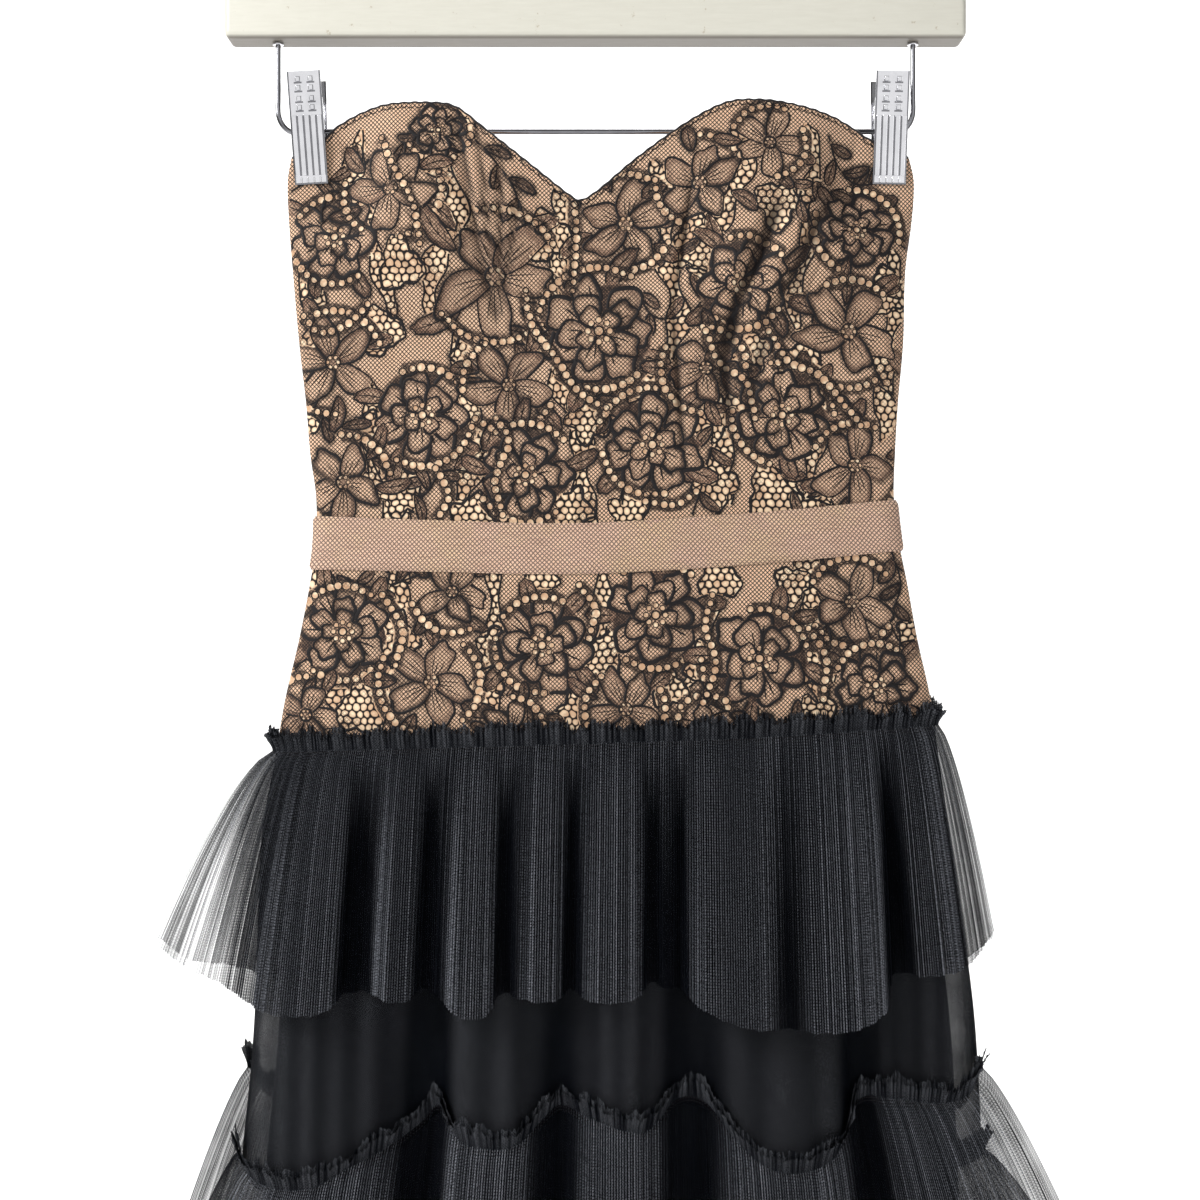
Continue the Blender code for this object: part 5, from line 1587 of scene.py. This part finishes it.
def select_where(piece, mode, test):
    """Opens a piece for editing with only its chosen corners or faces selected."""
    only(piece)
    bpy.ops.object.mode_set(mode="EDIT")
    bpy.ops.mesh.select_mode(type=mode)
    bpy.ops.mesh.select_all(action="DESELECT")
    bpy.ops.object.mode_set(mode="OBJECT")
    parts = piece.data.polygons if mode == "FACE" else piece.data.vertices
    for part in parts:
        part.select = test(part)
    bpy.ops.object.mode_set(mode="EDIT")


def close_edit():
    bpy.ops.object.mode_set(mode="OBJECT")


def apply_modifier(piece, kind, **settings):
    """Adds one modifier to a piece and makes it part of the mesh."""
    only(piece)
    made = piece.modifiers.new(kind.lower(), kind)
    for key, value in settings.items():
        setattr(made, key, value)
    bpy.ops.object.modifier_apply(modifier=made.name)


def narrow_top(piece, factor):
    high = max(vertex.co.z for vertex in piece.data.vertices) - 1e-5
    select_where(piece, "VERT", lambda vertex: vertex.co.z > high)
    bpy.ops.transform.resize(value=(factor, 1.0, 1.0))
    close_edit()


def wooden_bar(kinds):
    """Bar with rounded edges, and a collar under it where each riser enters."""
    middle = 0.5 * (BAR_TOP_DROP + BAR_BOTTOM_DROP)
    height = BAR_BOTTOM_DROP - BAR_TOP_DROP
    size = (BAR_LENGTH * MM, BAR_DEPTH * MM, height * MM)
    bar = start_block("wooden_bar", (0.0, 0.0, -middle * MM), size)
    select_where(bar, "FACE", lambda face: True)
    bpy.ops.mesh.subdivide(number_cuts=5)
    close_edit()
    bevel_all(bar, 4.0 * MM, 5, 60.0)
    bar.data.materials.append(kinds["paint"])
    dress_piece(bar, ("hanger_bar",))
    for side, way in SIDES:
        round_collar(side + "_riser_collar", way * RISER_X, BAR_BOTTOM_DROP + 1.0, 3.4, 1.2, kinds)


def round_collar(name, x, drop, radius, height, kinds, nodes=()):
    """Short turned ring, modelled from a cylinder."""
    deselect()
    place = (x * MM, 0.0, -drop * MM)
    bpy.ops.mesh.primitive_cylinder_add(vertices=24, radius=radius * MM, depth=height * MM, location=place)
    piece = bpy.context.object
    piece.name = name
    settle(piece)
    bevel_all(piece, 0.35 * MM, 2)
    piece.data.materials.append(kinds["chrome"])
    dress_piece(piece, nodes)


def round_wire(name, route, radius, node, kinds):
    line = np.asarray(route, float) * MM
    # the wire gets the darker chrome, as painted shade and dark reflection
    tube(name, line, radius * MM, kinds["wire"], 14, (node,))


def rounded_route(points, pitch=1.2):
    """Smooth wire line through a few points x, y, drop."""
    points = np.asarray(points, float)
    knots = np.concatenate([[0.0], np.cumsum(np.linalg.norm(np.diff(points, axis=0), axis=1))])
    at = np.linspace(0.0, knots[-1], int(knots[-1] / pitch) + 2)
    axes = [track(list(zip(knots, points[:, k])), 1, at) for k in range(3)]
    line = np.stack(axes, axis=-1)
    line[:, 2] *= -1.0
    return line


def hanger_wires(kinds):
    top = BAR_BOTTOM_DROP + LAY_GAP
    line = ((0.0, top), (0.0, 135.0), (0.0, 145.0), (0.0, 157.0), (0.0, 166.0), (1.2, 171.0))
    line += ((3.8, 175.0), (7.5, ROD_DROP), (11.0, ROD_DROP))
    for side, way in SIDES:
        route = [(way * (RISER_X - inward), 0.0, drop) for inward, drop in line]
        round_wire("riser_wire_" + side, rounded_route(route), WIRE_RADIUS, "riser_" + side, kinds)
    reach = RISER_X - 11.0 - LAY_GAP
    rod = [(share * reach, 0.0, -ROD_DROP) for share in (-1.0, -0.5, 0.0, 1.0)]
    round_wire("clip_rod", rod, WIRE_RADIUS, "clip_rod", kinds)
    loop = HOOK_INNER_RADIUS + HOOK_WIRE_RADIUS
    foot = BAR_TOP_DROP - 2.0 * LAY_GAP - 4.0
    neck = ((0.0, foot), (0.0, 62.0), (0.6, 56.0), (4.5, 48.0), (10.5, 41.5), (16.5, 35.0))
    route = [(x, 0.0, drop) for x, drop in neck]
    for k in range(23):
        angle = math.radians(mix(-22.0, 205.0, k / 22.0))
        route.append((loop * math.cos(angle), 0.0, HOOK_INNER_RADIUS - loop * math.sin(angle)))
    round_wire("hook_wire", rounded_route(route), HOOK_WIRE_RADIUS, "hanger_hook", kinds)
    ferrule_drop = BAR_TOP_DROP - LAY_GAP - 2.0
    round_collar("hook_ferrule", 0.0, ferrule_drop, 5.0, 4.0, kinds, ("hook_ferrule",))


# A clip's plate as a grid of cells: cells across and along, and where its relief stands
CLIP_COLUMNS = 21
CLIP_ROWS = 64
GROOVE_COLUMNS = (-6, -2, 2, 6)
DIMPLE_COLUMNS = (-4, 4)
DIMPLE_DROPS = (4.5, 10.1, 15.7, 21.3)
FLUTE_TOP = 26.0
FLUTE_BOTTOM = 61.0
CLIP_SHEET = 0.8


def raise_cells(piece, test, rise, inset):
    """Presses chosen faces of a plate outward, as a pad with sloping sides."""
    select_where(piece, "FACE", test)
    bpy.ops.mesh.inset(thickness=inset * MM, depth=rise * MM)
    close_edit()


def clip_leaf(side, face, kinds):
    """One pressed plate of a clip, with dimples, flutes and turned-in sides, and darker chrome as painted
    shade in its grooves, under its dimples and at its edges.
    """
    length = CLIP_BOTTOM_DROP - CLIP_TOP_DROP
    cell = CLIP_WIDTH / CLIP_COLUMNS
    deselect()
    bpy.ops.mesh.primitive_grid_add(x_subdivisions=CLIP_COLUMNS, y_subdivisions=CLIP_ROWS, size=1.0)
    piece = bpy.context.object
    piece.name = "clip_" + face + "_leaf_" + side
    piece.scale = (CLIP_WIDTH * MM, length * MM, 1.0)
    settle(piece)

    def column(spot):
        return round(spot.center.x / MM / cell)

    def below(spot):
        return 0.5 * length - spot.center.y / MM

    def is_flute(spot):
        held = abs(column(spot)) < 10 and column(spot) not in GROOVE_COLUMNS
        return held and FLUTE_TOP < below(spot) < FLUTE_BOTTOM

    def is_dimple(spot):
        near = min(abs(below(spot) - drop) for drop in DIMPLE_DROPS)
        return near < 1.6 and min(abs(column(spot) - place) for place in DIMPLE_COLUMNS) < 2

    def is_foot_pad(spot):
        return column(spot) in GROOVE_COLUMNS and FLUTE_BOTTOM + 1.0 < below(spot) < FLUTE_BOTTOM + 4.0

    # faces where shade falls: grooves, under the dimples, the side columns and the bottom row
    def in_shadow(spot):
        groove = column(spot) in GROOVE_COLUMNS and FLUTE_TOP < below(spot) < FLUTE_BOTTOM
        near = min(abs(below(spot) - drop - 2.2) for drop in DIMPLE_DROPS)
        under = near < 0.6 and min(abs(column(spot) - place) for place in DIMPLE_COLUMNS) < 3
        return groove or under or abs(column(spot)) == 10 or below(spot) > length - 1.0

    # painted shade: faces in shade get the darker chrome
    piece.data.materials.append(kinds["chrome"])
    piece.data.materials.append(kinds["wire"])
    for spot in piece.data.polygons:
        spot.material_index = 1 if in_shadow(spot) else 0
    raise_cells(piece, is_flute, 0.7, 0.12)
    raise_cells(piece, is_dimple, 0.9, 0.35)
    raise_cells(piece, is_foot_pad, 0.5, 0.12)
    edge = 0.5 * CLIP_WIDTH * MM - 1e-6
    top = 0.5 * length * MM
    low, high = top - 38.0 * MM, top - 15.0 * MM
    select_where(piece, "VERT", lambda spot: abs(spot.co.x) > edge and low < spot.co.y < high)
    bpy.ops.mesh.select_mode(type="EDGE")
    bpy.ops.mesh.extrude_edges_move(TRANSFORM_OT_translate={"value": (0.0, 0.0, -3.2 * MM)})
    close_edit()
    apply_modifier(piece, "SOLIDIFY", thickness=CLIP_SHEET * MM, offset=-1.0)
    bevel_all(piece, 0.12 * MM, 2)
    lean = math.atan(CLIP_SLOPE)
    drift = CLIP_TOP_X[side] - CLIP_BOTTOM_X[side]
    way = sign_of(face)
    out = CLIP_REACH + CLIP_SLOPE * 0.5 * length + CLIP_PLATE
    turn = 0.0 if face == "front" else math.pi
    piece.rotation_euler = (math.radians(90.0) + lean, way * -math.atan(drift / length), turn)
    middle = 0.5 * (CLIP_TOP_X[side] + CLIP_BOTTOM_X[side])
    piece.location = (middle * MM, way * out * MM, -0.5 * (CLIP_TOP_DROP + CLIP_BOTTOM_DROP) * MM)
    settle(piece)
    dress_piece(piece, ("clip_" + face + "_" + side,))


# Skirt, tiers and frills


def skirt_edges(drop):
    return track(SKIRT_SIDES, 1, drop), track(SKIRT_SIDES, 2, drop)


def round_tip(near, radius=2.6):
    u = np.clip(near / radius, 0.0, 1.0)
    return np.sqrt(np.maximum(0.0, 1.0 - (1.0 - u) ** 2))


def mirrored(face, x, left, right):
    return x if face == "front" else left + right - x


def hip_depth(face, x):
    """Distance of the yoke's outside from the middle plane at the hip seam."""
    return cloth_depth(face, np.clip(x, -192.0, 206.0), np.full_like(x, 545.0), fine=False)


def skirt_depth(face, x, drop):
    left, right = skirt_edges(drop)
    near = np.minimum(x - left, right - x)
    look = mirrored(face, x, left, right)
    low_depth = track(SKIRT_FRONT, 2, look) * (1.0 if face == "front" else 0.85)
    low_drop = track(SKIRT_FRONT, 1, look)
    hip_drop = track(HIP, 1, x)
    u = (drop - hip_drop) / (low_drop - hip_drop)
    depth = mix(hip_depth(face, x), low_depth, np.clip(u, 0.0, 1.3) ** 1.5)
    cap = mix(CAP_LENGTH, 8.0, np.clip(u, 0.0, 1.0))
    full = np.maximum(depth * round_tip(near, cap), 2.6 * round_tip(near))
    return np.where(near > 0.0, full, 0.0)


def half_shares(face, count):
    """Places across one face from seam to seam; the back runs from right to left."""
    u = np.linspace(0.0, 1.0, count)
    u = crowded(u, 0.04)
    u = np.where(u > 0.96, 1.0 - crowded(1.0 - u, 0.04), u)
    return u if face == "front" else u[::-1]


def shift_out(grid, distance):
    """Moves the points of a face (x, y, drop) out, level with themselves."""
    along = np.gradient(grid[..., :2], axis=-2)
    along /= np.linalg.norm(along, axis=-1)[..., None] + 1e-9
    moved = grid.copy()
    moved[..., 0] += along[..., 1] * distance
    moved[..., 1] -= along[..., 0] * distance
    return moved


def girth_map(grid):
    """Cloth map of a face: distance along each row's line, and height."""
    steps = np.linalg.norm(np.diff(grid, axis=1), axis=-1)
    reach = np.concatenate([np.zeros((len(grid), 1)), np.cumsum(steps, axis=1)], axis=1)
    last = reach[-1]
    return np.stack([np.broadcast_to(last, reach.shape), -grid[..., 2]], axis=-1) * MM


def fold_light(grid, face):
    """How far each point stands out from its neighbours: 0 in a gap between folds, 1 on a crest; used as
    painted light and shade on the tulle.
    """
    depth = grid[..., 1] * sign_of(face)
    wide = max(3, grid.shape[1] // 16)
    kernel = np.ones(2 * wide + 1) / (2 * wide + 1)
    padded = np.pad(depth, ((0, 0), (wide, wide)), mode="edge")
    level = np.stack([np.convolve(row, kernel, "valid") for row in padded])
    return ease(0.56 + (depth - level) / 8.0)


def face_piece(name, grid, kind, nodes=(), uv=None, marks=None):
    points = grid.copy()
    points[..., 2] *= -1.0
    rows, columns = grid.shape[:2]
    uv = girth_map(grid) if uv is None else uv
    piece = mesh_piece(name, points * MM, grid_faces(rows, columns), kind, uv, marks)
    return dress_piece(piece, nodes)


def tulle_marks(ridge, fold, thin):
    """Marks of a tulle piece: painted highlights on ridges, painted light and shade of the fold crests and
    gaps, and thin places.
    """
    shape = np.broadcast_shapes(np.shape(ridge), np.shape(fold), np.shape(thin))
    return np.stack([np.broadcast_to(part, shape) for part in (ridge, fold, thin)], axis=-1)


def under_skirt(kinds):
    rows = 44
    columns = 420
    for face in FACES:
        shares = half_shares(face, columns)[None, :]
        down = np.linspace(0.0, 1.0, rows)[:, None]
        drop = np.full((rows, columns), 700.0)
        for _ in range(10):
            left, right = skirt_edges(drop)
            x = mix(left, right, shares)
            low = track(SKIRT_FRONT, 1, mirrored(face, x, left, right))
            drop = mix(track(HIP, 1, x) + 0.3, low, down)
        depth = skirt_depth(face, x, drop)
        grid = np.stack([x, sign_of(face) * depth, drop], axis=-1)
        ripple = 0.5 * np.sin(x / 3.1 + 1.4 * np.sin(x / 23.0)) * ease(down * 2.0)
        ripple = ripple + 0.4 * np.sin(x / 7.7 + drop / 60.0)
        near = np.minimum(x - left, right - x)
        grid = shift_out(grid, ripple * ease(near / 8.0))
        # painted highlight: soft vertical stripes of shine on the plain tulle, with the folds' painted
        # light and shade
        painted_shine = 0.35 + 0.3 * np.sin(x / 6.1 + 2.0 * np.sin(x / 31.0)) ** 2
        marks = tulle_marks(painted_shine, fold_light(grid, face), 0.0)
        name, nodes = "plain_tulle_skirt_" + face, ("underskirt_" + face,)
        piece = face_piece(name, grid, kinds["plain tulle"], nodes, None, marks)


def skirt_lining(kinds):
    rows = 36
    columns = 170
    for face in FACES:
        shares = half_shares(face, columns)[None, :]
        down = np.linspace(0.0, 1.0, rows)[:, None]
        drop = np.full((rows, columns), 700.0)
        for _ in range(8):
            left, right = skirt_edges(drop)
            inset = mix(TULLE_WALL + 0.8, LINING_INSET, ease((drop - 552.0) / 60.0))
            x = mix(left + inset, right - inset, shares)
            drop = mix(track(HIP, 1, x) + SEAM_HALF_GAP, LINING_HEM_DROP, down)
        left, right = skirt_edges(drop)
        near = np.minimum(x - left, right - x) - inset
        lens = 1.0 - np.abs(2.0 * shares - 1.0) ** 3
        wave = 1.0 + 0.25 * np.sin(shares * 23.0 + (0.0 if face == "front" else 1.7))
        free = (4.0 + 8.0 * lens) * mix(1.0, wave, ease(down * 1.4))
        high = np.minimum(drop, 770.0)
        nearby = [skirt_depth(face, x + aside, high) for aside in (-9.0, -4.0, 0.0, 4.0, 9.0)]
        nearby = [np.where(depth > 0.0, depth, 99.0) for depth in nearby]
        limit = np.minimum.reduce(nearby) - TULLE_WALL * 1.5 - 0.8
        seam = hip_depth(face, x) - TULLE_WALL - 0.6
        depth = mix(seam, free, ease(down * 4.0))
        depth = np.minimum(depth, np.maximum(limit, 2.2))
        depth = np.maximum(depth * round_tip(near, 7.0), 1.9 * round_tip(near, 1.9))
        grid = np.stack([x, sign_of(face) * depth, drop], axis=-1)
        name, nodes = "lining_of_skirt_" + face, ("skirt_lining_" + face,)
        piece = face_piece(name, grid, kinds["lining"], nodes)


def seam_line(face, hem, spread, shares, over_hip):
    """Seam of a tier on the tulle, with places that match the tier's hem places."""
    left_hem, right_hem = hem[0][0], hem[-1][0]
    first, last = spread[0][1], spread[-1][1]
    run = (track(spread, 1, mix(left_hem, right_hem, shares)) - first) / (last - first)
    drop = np.full_like(run, 700.0)
    for _ in range(10):
        left, right = skirt_edges(drop)
        x = mix(left, right, run)
        if over_hip:
            drop = track(HIP, 1, x) + SEAM_HALF_GAP
        else:
            drop = track(SKIRT_FRONT, 1, mirrored(face, x, left, right)) - SEAM_ABOVE_SKIRT_EDGE
    return np.stack([x, sign_of(face) * skirt_depth(face, x, drop), drop], axis=-1)


def hem_line(face, hem, shares):
    left, right = hem[0][0], hem[-1][0]
    x = mix(left, right, shares)
    look = mirrored(face, x, left, right)
    out = track(hem, 2, look) * (1.0 if face == "front" else 0.9)
    near = np.minimum(x - left, right - x)
    depth = np.maximum(out, 2.6 * round_tip(near))
    drop = track(hem, 1, x)
    if face == "back":
        drop = mix(drop, track(hem, 1, look), 0.5)
    return np.stack([x, sign_of(face) * depth, drop], axis=-1)


def outside_skirt(grid, face, clearance):
    depth = skirt_depth(face, grid[..., 0], grid[..., 2])
    held = np.where(depth > 0.0, np.maximum(np.abs(grid[..., 1]), depth + clearance), np.abs(grid[..., 1]))
    moved = grid.copy()
    moved[..., 1] = sign_of(face) * held
    return moved


PLISSE_DEPTH = 1.35
WING_FADE = 34.0
# Each layer of a frill: share of the height, lean outward, sway
FRILL_LAYERS = ((1.0, HEADER_LEAN, 0.9), (0.72, HEADER_LEAN + 1.5, 1.3))


def plisse(count, per_pleat, seed):
    """Uneven knife pleats: in and out values for each column."""
    rng = np.random.default_rng(seed)
    pleats = count // per_pleat + 2
    heights = rng.uniform(0.3, 1.0, pleats)
    phase = np.arange(count) / per_pleat
    drift = np.cumsum(rng.uniform(-0.16, 0.16, count)) * 0.3
    wave = np.sin(2.0 * np.pi * (phase + drift))
    wave = np.sign(wave) * np.abs(wave) ** 0.8
    return wave * heights[np.minimum(phase.astype(int), pleats - 1)]


def tier(name, node, hem, spread, over_hip, flare, length, columns, sheer, kinds, seed):
    rows = 20
    for face in FACES:
        count = columns if face == "front" else int(columns * 0.8)
        shares = half_shares(face, count)
        top = seam_line(face, hem, spread, shares, over_hip)
        top = shift_out(top, HEADER_STAND_OFF + TULLE_WALL)
        low = hem_line(face, hem, shares)
        v = np.linspace(0.0, 1.0, rows)[:, None]
        grid = np.empty((rows, count, 3))
        grid[..., 0] = mix(top[None, :, 0], low[None, :, 0], v ** flare)
        grid[..., 1] = mix(top[None, :, 1], low[None, :, 1], v ** 0.85)
        grid[..., 2] = mix(top[None, :, 2], low[None, :, 2], v)
        if over_hip:
            grid[1:] = outside_skirt(grid[1:], face, 2.2 * TULLE_WALL + 1.0)
        uv = girth_map(grid)
        fine = plisse(count, 4, seed + len(face))
        sway = 0.35 * np.sin(np.arange(count) / 31.0)[None, :] * np.sin(v * 5.0)
        strength = 0.6 + 0.4 * ease(v * 3.0) + 0.2 * v
        tips = ease(np.minimum(shares, 1.0 - shares) / 0.012)[None, :]
        fold = fold_light(grid, face)
        grid = shift_out(grid, (fine[None, :] * strength * PLISSE_DEPTH + sway) * tips)
        rng = np.random.default_rng(seed)
        ragged = rng.uniform(-0.3, 0.3, count) + 0.4 * np.sin(np.arange(count) * 0.21)
        grid[-1, :, 2] += ragged
        crest = np.clip(0.5 + 0.6 * fine, 0.0, 1.0)[None, :]
        streak = np.repeat(rng.uniform(0.15, 1.0, count // 5 + 1), 5)[:count][None, :]
        left, right = skirt_edges(grid[..., 2])
        beyond = ease(np.maximum(left - grid[..., 0], grid[..., 0] - right) / WING_FADE)
        thin = sheer * ((1.0 - crest) * streak * (0.7 + 1.1 * beyond) + 0.22 * beyond)
        # painted highlights on the pleat crests, and painted light and shade of the folds
        marks = tulle_marks(crest**2.6 * (0.4 + 0.6 * streak), fold, thin)
        label, nodes = name + "_" + face, (node + "_" + face,)
        piece = face_piece(label, grid, kinds["tulle"], nodes, uv, marks)


def frill(name, node, hem, spread, over_hip, over_skirt, kinds, seed):
    """Ragged stand-up frill above a tier's gathering stitches, two layers of cut tulle."""
    rng = np.random.default_rng(seed)
    for face in FACES:
        count = 900 if face == "front" else 700
        shares = half_shares(face, count)
        base = seam_line(face, hem, spread, shares, over_hip)
        base = shift_out(base, HEADER_STAND_OFF + TULLE_WALL)
        rough = np.convolve(rng.uniform(-1.0, 1.0, count + 8), np.ones(9) / 4.0, "valid")
        tall = HEADER_HEIGHT * (0.95 + 0.3 * rough + 0.14 * np.sin(np.arange(count) * 0.11))
        step = np.cumsum(rng.uniform(0.5, 1.7, count))
        waves = np.sin(step) * rng.uniform(0.2, 1.3, count) + 0.9 * np.sin(step * 0.23 + 2.0 * rough)
        nodes = (node + "_" + face,)
        for layer, (high, lean, sway) in enumerate(FRILL_LAYERS):
            rows = []
            for rise in np.linspace(1.0, -0.12, 7):
                out = lean * max(0.0, rise) ** 1.3 + sway * waves * max(0.0, rise) * 0.7 + 0.4 * layer
                line = shift_out(base, out)
                line[:, 2] -= SEAM_HALF_GAP + LAY_GAP + tall * high * rise
                if over_skirt:
                    line = outside_skirt(line, face, HEADER_STAND_OFF + 1.2 * TULLE_WALL)
                rows.append(line)
            grid = np.stack(rows)
            grid[0, :, 2] += rng.uniform(-1.4, 1.3, count)
            grid[1, :, 2] += rng.uniform(-0.5, 0.5, count)
            # painted highlight along the frill's waves; the second mask is painted shade, darker towards
            # the seam
            painted_wave_highlight = np.clip(0.3 + 0.3 * waves + rng.uniform(-0.2, 0.4, count), 0.0, 1.0)
            marks = tulle_marks(painted_wave_highlight[None, :], np.linspace(1.0, 0.45, 7)[:, None], 0.0)
            label = name + "_" + face + "_" + str(layer + 1)
            piece = face_piece(label, grid, kinds["frill"], nodes, None, marks)
            nodes = ()
        stitches(name + "_" + face + "_gathering_stitches", base, face, kinds)


def stitches(name, base, face, kinds):
    """Two rows of gathering thread, as short dashes laid over the seam."""
    out = []
    faces = []
    for lower in (1.2, 3.0):
        line = shift_out(base, 1.1)
        line[:, 2] += lower
        for k in range(2, len(line) - 3, 3):
            faces.append(range(len(out), len(out) + 4))
            for point, away in ((k, -0.25), (k, 0.25), (k + 1, 0.25), (k + 1, -0.25)):
                x, y, drop = line[point]
                out.append((x * MM, y * MM, -(drop + away) * MM))
    piece = mesh_piece(name, out, faces, kinds["cord"], smooth=False)
    face_out(piece, face)
    dress_piece(piece)


# Room, light and camera


FLOOR_Z = -1.02


def backdrop():
    """Pale floor that curves up into a wall well behind the dress."""
    curve_start = 1.7
    radius = 0.8
    profile = [(-2.6, FLOOR_Z), (curve_start, FLOOR_Z)]
    for k in range(1, 13):
        angle = math.radians(7.5 * k)
        profile.append((curve_start + radius * math.sin(angle), FLOOR_Z + radius * (1.0 - math.cos(angle))))
    profile += [(curve_start + radius, 2.2)]
    points = [(x, y, z) for y, z in profile for x in (-3.4, 3.4)]
    faces = [(2 * k, 2 * k + 1, 2 * k + 3, 2 * k + 2) for k in range(len(profile) - 1)]
    kind = plain_surface("pale paper", colour(252, 252, 252), 0.9)
    mesh_piece("pale_backdrop", points, faces, kind)


def lamp(name, spot, aim, size, power, spread=180.0):
    data = bpy.data.lights.new(name, "AREA")
    data.shape = "RECTANGLE"
    data.size, data.size_y = size
    data.energy = power
    data.spread = math.radians(spread)
    made = bpy.data.objects.new(name, data)
    made.location = spot
    made.rotation_euler = (Vector(aim) - Vector(spot)).to_track_quat("-Z", "Y").to_euler()
    bpy.context.scene.collection.objects.link(made)


def studio():
    lamp("soft key", (-1.35, -0.95, 0.5), (0.0, 0.0, -0.45), (0.6, 0.8), 30.0)
    lamp("soft fill", (1.4, -1.5, -0.1), (0.0, 0.0, -0.5), (1.0, 1.6), 4.0)
    lamp("front board", (0.0, -2.3, -0.2), (0.0, 0.0, -0.4), (3.0, 2.4), 18.0)
    lamp("wall light", (0.0, 1.2, 1.5), (0.0, 1.9, -0.8), (3.0, 0.8), 75.0)
    lamp("back fill", (1.3, 1.5, 0.2), (0.0, 0.0, -0.45), (0.8, 1.2), 4.0)
    world = bpy.data.worlds.new("studio air")
    world.use_nodes = True
    sky = world.node_tree.nodes["Background"]
    sky.inputs["Color"].default_value = (1.0, 1.0, 1.0, 1.0)
    sky.inputs["Strength"].default_value = 0.2
    bpy.context.scene.world = world
    bpy.context.scene.view_settings.view_transform = "Standard"
    bpy.context.scene.view_settings.look = "None"


def photo_camera():
    data = bpy.data.cameras.new("photo camera")
    data.sensor_width = 36.0
    data.lens = 51.07
    data.clip_end = 20.0
    made = bpy.data.objects.new("photo camera", data)
    made.location = (0.0027, -1.03, -0.461)
    made.rotation_euler = (math.radians(90.0), 0.0, 0.0)
    bpy.context.scene.collection.objects.link(made)
    bpy.context.scene.camera = made


def build():
    kinds = make_materials()
    wooden_bar(kinds)
    hanger_wires(kinds)
    for side, _ in SIDES:
        for face in FACES:
            clip_leaf(side, face, kinds)
    design = lace_design(5)
    lace_panels(kinds, blurred(design.picture))
    motifs = design.cords
    for face, top in (("front", FRONT_NECK), ("back", BACK_NECK)):
        design.cords = []
        scallop_edge(design, top, 21)
        cord_meshes(face, motifs + design.cords, kinds)
    neck_bindings(kinds)
    belt_shell(kinds)
    zip_shell(kinds)
    under_skirt(kinds)
    skirt_lining(kinds)
    one = (TIER_ONE_FRONT, TIER_ONE_SPREAD, True)
    two = (TIER_TWO_FRONT, TIER_TWO_SPREAD, False)
    tier("tier_one", "ruffle_one", *one, 0.7, TIER_ONE_CUT, 1400, 1.15, kinds, 31)
    frill("frill_one", "header_one", *one, False, kinds, 41)
    tier("tier_two", "ruffle_two", *two, 0.8, TIER_TWO_CUT, 1400, 0.5, kinds, 51)
    frill("frill_two", "header_two", *two, True, kinds, 61)
    backdrop()
    studio()
    photo_camera()


build()
